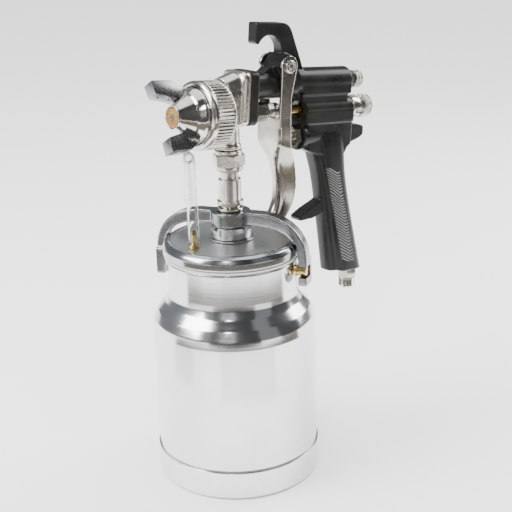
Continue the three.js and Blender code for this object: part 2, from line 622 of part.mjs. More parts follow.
// ---- trigger ----
// A channel section from the front point F to the back point B of the side view.
function channelRing([fx, fz], [bx, bz], frontHalf, backHalf, radius) {
  const depth = Math.hypot(bx - fx, bz - fz);
  const [ux, uz] = [(bx - fx) / depth, (bz - fz) / depth];
  const half = (inset) => {
    const [w, r] = [frontHalf - inset, Math.max(radius - inset * 0.8, 0.4)];
    const points = [[depth, backHalf - inset]];
    for (let k = 0; k <= 4; k++) {
      const a = (k / 4) * (Math.PI / 2);
      points.push([inset + r - r * Math.sin(a), w - r + r * Math.cos(a)]);
    }
    return points;
  };
  const mirror = (list) => list.map(([u, v]) => [u, -v]).reverse();
  const outer = [...half(0), ...mirror(half(0))];
  const inner = [...half(SHEET), ...mirror(half(SHEET))].reverse();
  return [...outer, ...inner].map(([u, v]) => new THREE.Vector3(fx + ux * u, v, fz + uz * u));
}

function triggerArm(side) {
  const [px, pz] = PIVOT;
  const [low, high] = [[[33.6, -9], [33.6, -2]], [[42.6, 10], [43.4, -9]]];
  const eye = [];
  for (let k = 0; k <= 12; k++) {
    const a = rad(200 - k * 16.5);
    eye.push([px + 6.6 * Math.cos(a), pz + 6.6 * Math.sin(a)]);
  }
  const inner = ARM_OUT - SHEET;
  const [y0, y1] = side < 0 ? [-ARM_OUT, -inner] : [inner, ARM_OUT];
  const plate = sideSlab(outline([...low, ...eye, ...high]), y0, y1);
  return cut(plate, rod(2.7, [px, y0 - 1, pz], [px, y1 + 1, pz]));
}

function trigger() {
  const w = ARM_OUT;
  const rings = [
    channelRing([33.6, -3.6], [43.2, -3.6], w, w, 2),
    channelRing([34, -19], [44.6, -20.5], w, w, 2.4),
    channelRing([35.4, -25], [47.8, -26.6], 8.6, 9.8, 3),
    channelRing([37.6, -30.5], [51, -32.6], 5.4, 8.3, 3.6),
    channelRing([40.4, -40], [53.8, -42], 4.6, 7.4, 3.8),
    channelRing([42, -50], [54.4, -51], 4.6, 7.2, 3.8),
    channelRing([41.6, -58.5], [52.6, -60], 4.6, 7.2, 3.8),
    channelRing([39.8, -64.6], [48, -68], 4.8, 7.2, 3.8),
    channelRing([37.8, -67.6], [43.4, -72], 5, 7, 3.8),
  ];
  return join(loft(rings), triggerArm(-1), triggerArm(1));
}

function pivotScrew() {
  const [px, pz] = PIVOT;
  const head = rod(4.1, [px, -ARM_OUT - 1.7, pz], [px, -ARM_OUT - GAP, pz], 16);
  const shank = rod(2.3, [px, -ARM_OUT - 1, pz], [px, ARM_OUT + 2.6, pz]);
  const socket = rod(2, [px, -ARM_OUT - 3, pz], [px, -ARM_OUT - 1.1, pz], 6);
  return cut(join(head, shank), socket);
}

function pivotNut() {
  const [px, pz] = PIVOT;
  const body = rod(4.2, [px, ARM_OUT + GAP, pz], [px, ARM_OUT + 2.4, pz], 16);
  return cut(body, rod(2.6, [px, ARM_OUT, pz], [px, ARM_OUT + 3, pz]));
}

// ---- assembly ----
const group = new THREE.Group();
const gun = new THREE.Group();
gun.rotation.y = rad(BARREL_TILT);
gun.position.z = BARREL_HEIGHT;
group.add(gun);

piece(group, "cup_shell", cupShell(), ALUMINIUM);
piece(group, "cup_pin_rear", cupPin(0), BRASS);
piece(group, "cup_pin_front", cupPin(180), BRASS);
piece(group, "lid_cover", lidCover(), CAST);
piece(group, "lid_gasket", pipe(43.7, 37.5, CUP_TOP + GAP, LID_SKIRT - GAP, "z", 30), RUBBER);
piece(group, "collar_washer", pipe(14.7, STEM_R + 0.5, LID_TOP + GAP, 161.2, "z", 20), STEEL);
piece(group, "cam_collar", camCollar(), STEEL);
piece(group, "stem_nut", hexNut(10.4, 150.2, 155.2, STEM_R + GAP), NICKEL);
piece(group, "vent_barb", ventBarb(), BRASS);
piece(group, "vent_tube", ventTube(), VINYL);
piece(group, "pickup_tube", pipe(4.9, 3.9, 9, 149.9), STEEL);
piece(group, "fluid_stem", fluidStem(), NICKEL);
piece(group, "stem_lock_ring", pipe(8.3, STEM_R + GAP, YOKE_TOP + GAP, 180.4), NICKEL);
piece(group, "union_nut", unionNut(), NICKEL);
piece(group, "yoke", yoke(), CAST);

piece(gun, "fluid_head", fluidHead(), NICKEL);
piece(gun, "head_gasket", headGasket(), FIBRE);
piece(gun, "fluid_nozzle", fluidNozzle(), STEEL);
piece(gun, "air_cap", airCap(), CHROME);
piece(gun, "cap_insert", capInsert(), BRASS);
piece(gun, "retaining_ring", retainingRing(), NICKEL);
piece(gun, "needle", needle(), STEEL);
piece(gun, "needle_collar", needleCollar(), NICKEL);
piece(gun, "needle_set_screw", rod(0.8, [37.7, -1.4, 1.88], [37.7, -3.8, 3.56], 8), STEEL);
piece(gun, "needle_packing", pipe(3, 1.65, -3.4, 0.5, "x", 14), RUBBER);
piece(gun, "packing_nut", packingNut(), NICKEL);
piece(gun, "needle_sleeve", needleSleeve(), BRASS);
piece(gun, "needle_spring", coil(3.5, 0.8, 69.3, 112.2, 9), STEEL);
piece(gun, "spring_seat", rod(4.1, [112.5, 0, 0], [118.7, 0, 0], 14), BRASS);
piece(gun, "fluid_bushing", fluidBushing(), NICKEL);
piece(gun, "fluid_knob", fluidKnob(), NICKEL);
piece(gun, "gun_body", gunBody(), BLACK);
piece(gun, "fan_bushing", fanBushing(), NICKEL);
piece(gun, "fan_plug", fanPlug(), BRASS);
piece(gun, "fan_knob", fanKnob(), NICKEL);
piece(gun, "valve_gland", valveGland(), NICKEL);
piece(gun, "valve_stem", valveStem(), STEEL);
piece(gun, "valve_spring", coil(3.2, 0.8, 74.3, 93.6, 6).translate(0, 0, VALVE_Z), STEEL);
piece(gun, "inlet_nipple", inletNipple(), NICKEL);
piece(gun, "trigger", trigger(), CHROME);
piece(gun, "pivot_screw", pivotScrew(), CHROME);
piece(gun, "pivot_nut", pivotNut(), BLACK);

export default group;
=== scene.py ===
import math

import bmesh
import bpy
from mathutils import Matrix, Vector


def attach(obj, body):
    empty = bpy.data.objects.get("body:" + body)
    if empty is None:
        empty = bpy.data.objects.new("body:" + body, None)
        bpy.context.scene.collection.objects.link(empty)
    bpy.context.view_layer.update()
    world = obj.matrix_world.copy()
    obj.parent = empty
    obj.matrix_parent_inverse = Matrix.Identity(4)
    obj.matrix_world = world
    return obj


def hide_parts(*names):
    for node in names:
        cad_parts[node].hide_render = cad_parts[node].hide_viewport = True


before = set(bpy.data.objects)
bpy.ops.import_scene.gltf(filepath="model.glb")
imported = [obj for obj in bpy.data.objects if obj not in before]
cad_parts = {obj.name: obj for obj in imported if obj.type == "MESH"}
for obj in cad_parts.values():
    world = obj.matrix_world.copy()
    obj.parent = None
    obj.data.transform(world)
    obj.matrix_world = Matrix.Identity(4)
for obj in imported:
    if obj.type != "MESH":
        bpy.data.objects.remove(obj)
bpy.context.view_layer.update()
scene = bpy.context.scene

# ---- driving dimensions in mm, as in the CAD where no comment says otherwise ----
TILT = math.radians(5.6)
HEIGHT = 239.6  # of the barrel axis above the cup's underside, over its middle
TO_ROW = Matrix.Identity(4)
TO_GUN = Matrix.Translation((0, 0, HEIGHT / 1000)) @ Matrix.Rotation(TILT, 4, "Y")
CUP_R, BAND_R, NECK_R = 53.3, 54.1, 41.8
YOKE_ANGLE = math.radians(-60)
ROLL = math.radians(32)  # of the air cap's horns about the needle
VENT_X, VENT_REACH = -29.8, (7.4, 13.2)
FAN_Z, AIR_Z, VALVE_Z = 18.4, 17.0, -17.5
PIVOT = (39.5, 29.0)
WINDOW, WINDOW_R = (54.0, 0.6), 6.0  # the CAD's window is 5.6, under this skin
HOOK_EYE, HOOK_R = (28.6, 37.8), 9.9
ARM_OUT, SHEET = 11.4, 2.0  # the trigger's outer half width and plate thickness
FLUTES = 58
KNURL_DEPTH, KNURL_SLOPE = 0.3, 0.11
VIEW_TURN = 38  # degrees round to the photograph's side, for what the metal reflects


# ---- mesh kit ----
def new_object(name, verts, faces):
    mesh = bpy.data.meshes.new(name)
    mesh.from_pydata([tuple(v) for v in verts], [], faces)
    bm = bmesh.new()
    bm.from_mesh(mesh)
    bmesh.ops.remove_doubles(bm, verts=bm.verts, dist=1e-5)
    bmesh.ops.recalc_face_normals(bm, faces=bm.faces)
    bm.to_mesh(mesh)
    bm.free()
    obj = bpy.data.objects.new(name, mesh)
    scene.collection.objects.link(obj)
    return obj


def apply_all(obj):
    bpy.context.view_layer.update()
    done = obj.evaluated_get(bpy.context.evaluated_depsgraph_get())
    mesh = bpy.data.meshes.new_from_object(done)
    obj.modifiers.clear()
    old, obj.data = obj.data, mesh
    bpy.data.meshes.remove(old)
    return obj


def rounded(points, radius, steps=3, closed=True):
    """Points of an outline with each corner replaced by a small arc; a third value overrides the radius."""
    out = []
    n = len(points)
    for i, p in enumerate(points):
        r = p[2] if len(p) > 2 else radius
        if r <= 0 or (not closed and i in (0, n - 1)):
            out.append((p[0], p[1]))
            continue
        here = Vector(p[:2])
        a = Vector(points[i - 1][:2]) - here
        b = Vector(points[(i + 1) % n][:2]) - here
        half = a.angle(b, math.pi) / 2
        if half > math.radians(88):
            out.append(tuple(here))
            continue
        cut_back = min(r / math.tan(half), a.length * 0.45, b.length * 0.45)
        start, end = here + a.normalized() * cut_back, here + b.normalized() * cut_back
        for k in range(steps + 1):
            t = k / steps
            q = start * (1 - t) ** 2 + here * 2 * t * (1 - t) + end * t**2
            out.append(tuple(q))
    return out


def revolve(name, points, axis="z", sides=96, wave=None, soft=0.25):
    """A profile of radius and height turned round an axis; wave may shape the radius, soft rounds the corners."""
    closed = points[0][0] > 0 and points[-1][0] > 0
    profile = rounded(points, soft, 3, closed) if soft else [p[:2] for p in points]
    verts, faces = [], []
    n = len(profile)
    for k in range(sides):
        t = 2 * math.pi * k / sides
        for r, h in profile:
            q = wave(r, h, t) if wave else r
            c, s = q * math.cos(t), q * math.sin(t)
            verts.append((c, s, h) if axis == "z" else (h, c, s))
    for k in range(sides):
        m = (k + 1) % sides
        for i in range(n if closed else n - 1):
            j = (i + 1) % n
            quad = [k * n + i, k * n + j, m * n + j, m * n + i]
            if profile[i][0] < 1e-6:
                quad = quad[:3]
            elif profile[j][0] < 1e-6:
                quad = [quad[0], quad[1], quad[3]]
            faces.append(quad)
    return new_object(name, verts, faces)


def rows(points, step):
    """A profile with its long spans split, so that a wave can shape them."""
    out = []
    for a, b in zip(points, points[1:]):
        pieces = max(1, int(Vector((b[0] - a[0], b[1] - a[1])).length / step))
        out += [(a[0] + (b[0] - a[0]) * k / pieces, a[1] + (b[1] - a[1]) * k / pieces) for k in range(pieces)]
    return out + [points[-1][:2]]


def prism(name, shape, low, high, plane="side", bevel=0.0):
    """An outline given thickness.

    Plane side is x and z through y, front is y and z through x, top is x and y through z.
    """
    planes = {"side": lambda a, b, t: (a, t, b), "front": lambda a, b, t: (t, a, b), "top": lambda a, b, t: (a, b, t)}
    corner = planes[plane]
    n = len(shape)
    verts = [corner(p[0], p[1], t) for t in (low, high) for p in shape]
    faces = [list(range(n))[::-1], list(range(n, 2 * n))]
    faces += [[i, (i + 1) % n, n + (i + 1) % n, n + i] for i in range(n)]
    obj = new_object(name, verts, faces)
    return bevelled(obj, bevel) if bevel else obj


def bevelled(obj, width, segments=3, angle=40):
    mod = obj.modifiers.new("bevel", "BEVEL")
    mod.width, mod.segments, mod.limit_method = width, segments, "ANGLE"
    mod.angle_limit = math.radians(angle)
    return apply_all(obj)


def block(name, x, y, z, bevel=0.0):
    return prism(name, [(x[0], z[0]), (x[1], z[0]), (x[1], z[1]), (x[0], z[1])], y[0], y[1], "side", bevel)


def bar(name, radius, a, b, sides=48, bevel=0.0, end_radius=None):
    """A round bar from a to b, tapered if it has an end radius."""
    a, b = Vector(a), Vector(b)
    end = radius if end_radius is None else end_radius
    length = (b - a).length
    points = [(0, 0), (radius, 0, bevel), (end, length, bevel), (0, length)]
    obj = revolve(name, points, "z", sides, None, bevel)
    turn = Vector((0, 0, 1)).rotation_difference(b - a).to_matrix().to_4x4()
    obj.data.transform(Matrix.Translation(a) @ turn)
    return obj


def moved(obj, matrix):
    obj.data.transform(matrix)
    return obj


def copied(obj, matrix):
    other = obj.copy()
    other.data = obj.data.copy()
    scene.collection.objects.link(other)
    return moved(other, matrix)


def gathered(first, *rest):
    """One mesh holding all the pieces' faces."""
    bm = bmesh.new()
    for o in (first, *rest):
        bm.from_mesh(o.data)
    bm.to_mesh(first.data)
    bm.free()
    for o in rest:
        bpy.data.objects.remove(o)
    return first


def carve(obj, *tools, operation="DIFFERENCE"):
    for tool in tools:
        mod = obj.modifiers.new("carve", "BOOLEAN")
        mod.object, mod.operation, mod.solver = tool, operation, "EXACT"
        apply_all(obj)
        bpy.data.objects.remove(tool)
    return obj


def cast(obj, voxel, passes):
    """Overlapping solids merged into one skin, with the soft inner and outer corners of a casting."""
    mod = obj.modifiers.new("skin", "REMESH")
    mod.mode, mod.voxel_size, mod.adaptivity = "VOXEL", voxel, 0
    ease = obj.modifiers.new("ease", "SMOOTH")
    ease.factor, ease.iterations = 0.5, passes
    return apply_all(obj)


def loft(name, rings):
    """A skin over equally long rings of points, closed at both ends."""
    n = len(rings[0])
    verts = [v for ring in rings for v in ring]
    faces = [list(range(n))[::-1], list(range((len(rings) - 1) * n, len(rings) * n))]
    for k in range(len(rings) - 1):
        faces += [[k * n + i, k * n + (i + 1) % n, (k + 1) * n + (i + 1) % n, (k + 1) * n + i] for i in range(n)]
    return new_object(name, verts, faces)


def between(values, t):
    """Smooth interpolation through a list of equally long tuples, at t from 0 to 1."""
    n = len(values) - 1
    x = min(max(t, 0), 1) * n
    i = min(int(x), n - 1)
    f = x - i
    p = [values[min(max(i + k, 0), n)] for k in (-1, 0, 1, 2)]
    return [
        0.5 * (2 * b + (c - a) * f + (2 * a - 5 * b + 4 * c - d) * f * f + (3 * b - a - 3 * c + d) * f**3)
        for a, b, c, d in zip(*p)
    ]


def hexagon(name, radius, low, high, axis="x", bore=0.0, turn=0.0):
    """A hexagonal nut with turned, chamfered ends."""
    shape = [(radius * math.cos(turn + k * math.pi / 3), radius * math.sin(turn + k * math.pi / 3)) for k in range(6)]
    plane = "front" if axis == "x" else "top"
    nut = prism(name, shape, low, high, plane)
    c = radius * 0.14
    rim = [
        (0, low), (radius - c, low), (radius + 0.05, low + c * 0.62), (radius + 0.05, high - c * 0.62),
        (radius - c, high), (0, high)
    ]
    nut = carve(nut, revolve("turned", rim, axis, 96, None, 0), operation="INTERSECT")
    if bore:
        ends = [(low - 1, 0, 0), (high + 1, 0, 0)] if axis == "x" else [(0, 0, low - 1), (0, 0, high + 1)]
        nut = carve(nut, bar("bore", bore, *ends))
    return bevelled(nut, 0.18, 2, 20)


def place(obj, body, material, to=TO_GUN, nodes=(), angle=35):
    """Scales a finished piece to metres, smooths it, dresses it, and hands it to its body."""
    obj.data.transform(Matrix.Scale(0.001, 4))
    obj.matrix_world = to
    obj.data.polygons.foreach_set("use_smooth", [True] * len(obj.data.polygons))
    obj.data.set_sharp_from_angle(angle=math.radians(angle))
    obj.data.materials.clear()
    obj.data.materials.append(material)
    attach(obj, body)
    if nodes:
        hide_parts(*nodes)
    return obj


# ---- materials ----
def shader(name):
    mat = bpy.data.materials.new(name)
    mat.use_nodes = True
    tree = mat.node_tree
    return mat, tree, tree.nodes["Principled BSDF"]


def node(tree, kind, inputs=(), **settings):
    made = tree.nodes.new(kind)
    for key, value in settings.items():
        setattr(made, key, value)
    for key, value in dict(inputs).items():
        if isinstance(value, bpy.types.NodeSocket):
            tree.links.new(value, made.inputs[key])
        else:
            made.inputs[key].default_value = value
    return made


def noise(tree, where, scale, detail=3.0, rough=0.55):
    inputs = {"Vector": where, "Scale": scale, "Detail": detail, "Roughness": rough}
    return node(tree, "ShaderNodeTexNoise", inputs).outputs["Fac"]


def maths(tree, operation, *values):
    return node(tree, "ShaderNodeMath", dict(enumerate(values)), operation=operation).outputs[0]


def bumps(tree, bsdf, *layers):
    """Bump nodes chained into the shader's normal; each layer is a height, a strength and a distance in metres."""
    normal = None
    for height, strength, distance in layers:
        inputs = {"Height": height, "Strength": strength, "Distance": distance}
        if normal is not None:
            inputs["Normal"] = normal
        normal = node(tree, "ShaderNodeBump", inputs).outputs[0]
    tree.links.new(normal, bsdf.inputs["Normal"])


def spread(tree, value, low, high, start=0.3, stop=0.7):
    inputs = {"Value": value, "From Min": start, "From Max": stop, "To Min": low, "To Max": high}
    return node(tree, "ShaderNodeMapRange", inputs).outputs["Result"]


def blended(tree, factor, a, b):
    mix = node(tree, "ShaderNodeMix", data_type="RGBA")
    for index, value in ((0, factor), (6, a), (7, b)):
        if isinstance(value, bpy.types.NodeSocket):
            tree.links.new(value, mix.inputs[index])
        else:
            mix.inputs[index].default_value = value
    return mix.outputs[2]


def lathe_space(tree, axis, fine, wide):
    """Coordinates fast along and away from a turning axis and slow round it: noise in them makes turning lines."""
    where = node(tree, "ShaderNodeTexCoord").outputs["Object"]
    split = node(tree, "ShaderNodeSeparateXYZ", {0: where})
    along, side, other = (split.outputs[i] for i in ((2, 0, 1) if axis == "z" else (0, 1, 2)))
    side_squared = maths(tree, "MULTIPLY", side, side)
    other_squared = maths(tree, "MULTIPLY", other, other)
    radius = maths(tree, "SQRT", maths(tree, "ADD", side_squared, other_squared))
    angle = maths(tree, "ARCTAN2", side, other)
    h = maths(tree, "MULTIPLY", along, fine)
    r = maths(tree, "MULTIPLY", radius, fine)
    t = maths(tree, "MULTIPLY", angle, wide)
    return node(tree, "ShaderNodeCombineXYZ", {0: h, 1: r, 2: t}).outputs[0], where


def metal(
    name, bright, dull, rough, axis=None, fine=2600.0, wide=0.6, lines=0.05, grain=900.0, pits=0.03, stain=60.0
):
    """A machined or cast metal: two tones in soft stains, roughness that wanders, turning lines and fine pits."""
    mat, tree, bsdf = shader(name)
    if axis:
        turning, where = lathe_space(tree, axis, fine, wide)
        drawn = noise(tree, turning, 1.0, 2.0)
    else:
        where = node(tree, "ShaderNodeTexCoord").outputs["Object"]
        drawn = noise(tree, where, fine, 2.0)
    stains = noise(tree, where, stain, 4.0, 0.6)
    specks = noise(tree, where, grain, 2.0)
    tone = spread(tree, stains, 0.0, 1.0, 0.38, 0.66)
    tree.links.new(blended(tree, tone, bright, dull), bsdf.inputs["Base Color"])
    mixed = maths(tree, "ADD", stains, drawn)
    tree.links.new(spread(tree, mixed, rough[0], rough[1], 0.7, 1.3), bsdf.inputs["Roughness"])
    bumps(tree, bsdf, (drawn, lines, 0.0002), (specks, pits, 0.0003))
    bsdf.inputs["Metallic"].default_value = 1.0
    return mat


NICKEL = metal("nickel_bright", (0.80, 0.77, 0.71, 1), (0.62, 0.58, 0.51, 1), (0.09, 0.24), "x", lines=0.10)
NICKEL_UP = metal("nickel_stem", (0.78, 0.75, 0.69, 1), (0.55, 0.51, 0.44, 1), (0.10, 0.28), "z", lines=0.12)
NICKEL_CAST = metal(
    "nickel_cast", (0.78, 0.75, 0.69, 1), (0.56, 0.52, 0.45, 1), (0.13, 0.32), None, fine=1500.0, lines=0.01,
    pits=0.02, grain=1100.0
)
CHROME = metal(
    "chrome_polished", (0.86, 0.85, 0.82, 1), (0.66, 0.62, 0.54, 1), (0.05, 0.16), "x", lines=0.05, stain=90.0
)
CHROME_DULL = metal(
    "chrome_tumbled", (0.36, 0.36, 0.355, 1), (0.24, 0.25, 0.26, 1), (0.16, 0.32), None, fine=1500.0, lines=0.01,
    pits=0.04, grain=1600.0, stain=2800.0
)
STEEL = metal("turned_steel", (0.66, 0.66, 0.66, 1), (0.42, 0.42, 0.43, 1), (0.16, 0.34), "z", lines=0.2)
BRASS = metal("brass_turned", (0.80, 0.58, 0.25, 1), (0.50, 0.34, 0.13, 1), (0.14, 0.32), "x", lines=0.15)
BRASS_UP = metal("brass_barb", (0.82, 0.63, 0.30, 1), (0.55, 0.38, 0.15, 1), (0.12, 0.28), "z", lines=0.12)
COPPER = metal(
    "copper_face", (0.56, 0.33, 0.12, 1), (0.40, 0.22, 0.08, 1), (0.28, 0.42), "x", lines=0.25, stain=300.0
)
RIM_METAL = metal(
    "rim_polished", (0.52, 0.53, 0.55, 1), (0.38, 0.39, 0.41, 1), (0.12, 0.24), "z", fine=1500.0, wide=0.35,
    grain=1200.0, pits=0.01, stain=30.0
)
CUP_METAL = metal(
    "spun_aluminium", (0.84, 0.845, 0.85, 1), (0.68, 0.69, 0.71, 1), (0.10, 0.21), "z", fine=1500.0, wide=0.35,
    grain=1200.0, pits=0.01, stain=14.0
)
LID_METAL = metal(
    "cast_lid", (0.66, 0.66, 0.66, 1), (0.50, 0.50, 0.49, 1), (0.30, 0.46), None, pits=0.5, grain=1500.0, stain=700.0
)
YOKE_METAL = metal(
    "cast_yoke", (0.38, 0.39, 0.41, 1), (0.24, 0.25, 0.27, 1), (0.16, 0.30), None, fine=1500.0, lines=0.02, pits=0.08,
    grain=1200.0, stain=60.0
)
TRIGGER_METAL = metal(
    "trigger_plate", (0.60, 0.57, 0.52, 1), (0.40, 0.37, 0.32, 1), (0.10, 0.26), None, fine=1500.0, lines=0.012,
    pits=0.015, grain=1500.0, stain=70.0
)
INNER = metal("inner_steel", (0.55, 0.55, 0.55, 1), (0.35, 0.35, 0.36, 1), (0.25, 0.4))


def enamel():
    mat, tree, bsdf = shader("black_enamel")
    where = node(tree, "ShaderNodeTexCoord").outputs["Object"]
    wear = noise(tree, where, 45.0, 5.0, 0.65)
    peel = noise(tree, where, 620.0, 2.0)
    dust = noise(tree, where, 2600.0, 1.0)
    colour = blended(
        tree, spread(tree, wear, 0.0, 1.0, 0.4, 0.7), (0.0060, 0.0060, 0.0056, 1), (0.012, 0.0118, 0.011, 1)
    )
    tree.links.new(colour, bsdf.inputs["Base Color"])
    tree.links.new(spread(tree, wear, 0.24, 0.40), bsdf.inputs["Roughness"])
    bumps(tree, bsdf, (peel, 0.12, 0.0004), (dust, 0.03, 0.0001))
    bsdf.inputs["Coat Weight"].default_value = 0.12
    bsdf.inputs["Coat Roughness"].default_value = 0.14
    bsdf.inputs["Specular IOR Level"].default_value = 0.26
    return mat


def hose():
    mat, tree, bsdf = shader("clear_vinyl")
    where = node(tree, "ShaderNodeTexCoord").outputs["Object"]
    haze = noise(tree, where, 160.0, 3.0)
    tree.links.new(blended(tree, haze, (0.955, 0.975, 0.965, 1), (0.90, 0.945, 0.93, 1)), bsdf.inputs["Base Color"])
    tree.links.new(spread(tree, haze, 0.03, 0.10), bsdf.inputs["Roughness"])
    bsdf.inputs["Transmission Weight"].default_value = 1.0
    bsdf.inputs["IOR"].default_value = 1.38
    return mat


def soft(name, light, dark, rough, scale=500.0):
    mat, tree, bsdf = shader(name)
    where = node(tree, "ShaderNodeTexCoord").outputs["Object"]
    grain = noise(tree, where, scale, 4.0)
    tree.links.new(blended(tree, grain, light, dark), bsdf.inputs["Base Color"])
    tree.links.new(spread(tree, grain, rough - 0.08, rough + 0.08), bsdf.inputs["Roughness"])
    bumps(tree, bsdf, (grain, 0.2, 0.0003))
    return mat


ENAMEL = enamel()
# The ribs' grey, far lighter than the black enamel, is a painted highlight along the grip's ribbing.
RIB_PAINTED_HIGHLIGHT = soft("rib_painted_highlight_grey", (0.16, 0.16, 0.155, 1), (0.07, 0.07, 0.068, 1), 0.42, 900.0)
VINYL = hose()
RUBBER = soft("white_sealing_rubber", (0.72, 0.70, 0.64, 1), (0.60, 0.58, 0.52, 1), 0.6)
FIBRE = soft("gasket_fibre", (0.20, 0.14, 0.10, 1), (0.10, 0.07, 0.05, 1), 0.75, 1500.0)


# ---- the cup ----
def cup():
    outer = [
        (0, 0), (52.2, 0, 1.2), (BAND_R, 1.9, 1.2), (BAND_R, 19.3, 0.3), (CUP_R - 0.8, 19.5, 0.05),
        (CUP_R - 0.8, 20.3, 0.05)
    ]
    outer += [(CUP_R, 20.7, 0.2), (CUP_R, 98, 0), (CUP_R, 104, 3), (52.4, 109.4, 4), (49.4, 115, 4), (44.6, 120.6, 5)]
    outer += [(42.4, 125, 3), (NECK_R, 129, 2.5), (NECK_R, 147.1, 0.3), (43.3, 147.7, 0.3), (43.3, 149.3, 0.6)]
    inner = [
        (40.5, 149.3, 0.4), (40.5, 128.4, 3), (41.2, 124.2, 3), (43.4, 119.8, 4), (48.2, 114.2, 4), (51.1, 108.9, 4)
    ]
    inner += [(51.9, 103.6, 3), (51.9, 3.4, 1), (50.4, 2.0, 0.5), (0, 2.0)]
    place(
        revolve("cup_wall", outer + inner, "z", 160, None, 0.3), "gun_and_cup", CUP_METAL,
        TO_ROW, ["cup_shell"], 50
    )


def cup_pins():
    for name, turn in (("cup_pin_rear", 0), ("cup_pin_front", math.pi)):
        r = 3.35
        side = [
            (0, 39.9), (2, 39.9), (2, 42.2), (4, 42.2), (4, 44.5), (r, 44.8), (r, 45.4), (r - 0.25, 45.7),
            (r - 0.25, 46.1), (r, 46.4)
        ]
        pin = revolve(name + "_turned", side + [(r, 49.9, 0.4), (r - 0.5, 50.4, 0.2), (0, 50.4)], "x", 48, None, 0.12)
        spin = Matrix.Rotation(YOKE_ANGLE + turn, 4, "Z") @ Matrix.Translation((0, 0, 142))
        place(moved(pin, spin), "gun_and_cup", BRASS_UP, TO_ROW, [name])


def lid():
    side = [
        (7.2, 155.6), (7.2, 160), (38.6, 160, 0.4), (39.3, 160.45, 0.3), (40.8, 160.4, 1.2), (43.0, 159.2, 2),
        (44.3, 156.6, 2)
    ]
    side += [(44.3, 152.6, 1.2), (43.3, 151.3, 0.5), (36, 151.3, 0.3), (36, 155.6, 0.5)]
    place(revolve("lid_casting", side, "z", 160), "gun_and_cup", LID_METAL, TO_ROW, ["lid_cover"])
    band = [
        (38.9, 160.3), (39.35, 160.5, 0.1), (40.9, 160.47, 1.2), (43.1, 159.27, 2), (44.37, 156.65, 2),
        (44.37, 152.5, 1.2), (43.4, 151.35, 0.4), (42.6, 151.5)
    ]
    band += [(42.6, 152.5), (43.2, 156), (41, 159)]
    place(
        revolve("lid_polished_rim", band, "z", 160, None, 0.2), "gun_and_cup", RIM_METAL,
        TO_ROW, ()
    )
    ring = [(37.5, 149.75), (43.5, 149.75), (43.7, 150.3), (43.5, 150.95), (37.5, 150.95)]
    place(revolve("lid_seal", ring, "z", 128), "gun_and_cup", RUBBER, TO_ROW, ["lid_gasket"])


def collar():
    washer = [(6.9, 160.3), (14.5, 160.3), (14.7, 160.6), (14.5, 161.2), (6.9, 161.2)]
    place(
        revolve("collar_base_washer", washer, "z", 96, None, 0.15), "gun_and_cup", STEEL, TO_ROW,
        ["collar_washer"]
    )
    ring = revolve("cam_ring", [(6.9, 161.5), (13.1, 161.5, 0.4), (13.1, 168.9, 0.35), (6.9, 168.9)], "z", 128)
    for turn in (0, math.pi):
        wedge = prism("cam_step", [(0, 0), (16, 0), (16, 16), (0, 16)], 167.1, 175, "top")
        ring = carve(ring, moved(wedge, Matrix.Rotation(YOKE_ANGLE - math.radians(20) + turn, 4, "Z")))
    place(bevelled(ring, 0.2, 2), "gun_and_cup", STEEL, TO_ROW, ["cam_collar"])


def vent():
    side = [
        (1.0, 155), (1.8, 155), (1.8, 160.3), (3.55, 160.3), (3.55, 162.6), (1.7, 162.8), (1.6, 164.6), (1.95, 165.2),
        (1.6, 167.8)
    ]
    side += [(1.95, 168.6), (1.2, 171.6), (0.8, 171.6)]
    shift = Matrix.Translation((VENT_X, 0, 0))
    place(
        moved(revolve("vent_barb_turned", side, "z", 40, None, 0.12), shift), "gun_and_cup", BRASS_UP,
        TO_ROW, ["vent_barb"]
    )

    def at(f, z):
        return Vector((VENT_X + VENT_REACH[0] * f, VENT_REACH[1] * f, z))

    path = [at(0, 163.1), at(0, 172), at(0.01, 186), at(0.03, 200)]
    path += [at(0.5 - 0.46 * math.cos(a), 208.9 + 6.9 * math.sin(a)) for a in (0, 0.6, 1.2, 1.94, 2.54, math.pi)]
    path += [at(0.98, 203), at(1, 195), at(1, 187)]
    sweep_tube("vent_hose", path, 3.55, 2.45)


def sweep_tube(name, path, outer, inner, sides=28, steps=72):
    """The vent hose, open at both ends: rings of the outside along the path, then rings of the bore back again."""
    points = [Vector(between([tuple(p) for p in path], k / steps)) for k in range(steps + 1)]
    side = Vector((0.58, -0.81, 0))
    rings, bores = [], []
    for k, p in enumerate(points):
        ahead = (points[min(k + 1, steps)] - points[max(k - 1, 0)]).normalized()
        u = (side - ahead * side.dot(ahead)).normalized()
        v = ahead.cross(u)
        spin = [2 * math.pi * i / sides for i in range(sides)]
        rings.append([p + (u * math.cos(t) + v * math.sin(t)) * outer for t in spin])
        bores.append([p + (u * math.cos(t) + v * math.sin(t)) * inner for t in spin])
    skin = rings + bores[::-1]
    n, faces = sides, []
    for k in range(len(skin)):
        m = (k + 1) % len(skin)
        faces += [[k * n + i, k * n + (i + 1) % n, m * n + (i + 1) % n, m * n + i] for i in range(n)]
    tube = new_object(name, [v for ring in skin for v in ring], faces)
    place(tube, "gun_and_cup", VINYL, TO_ROW, ["vent_tube"])


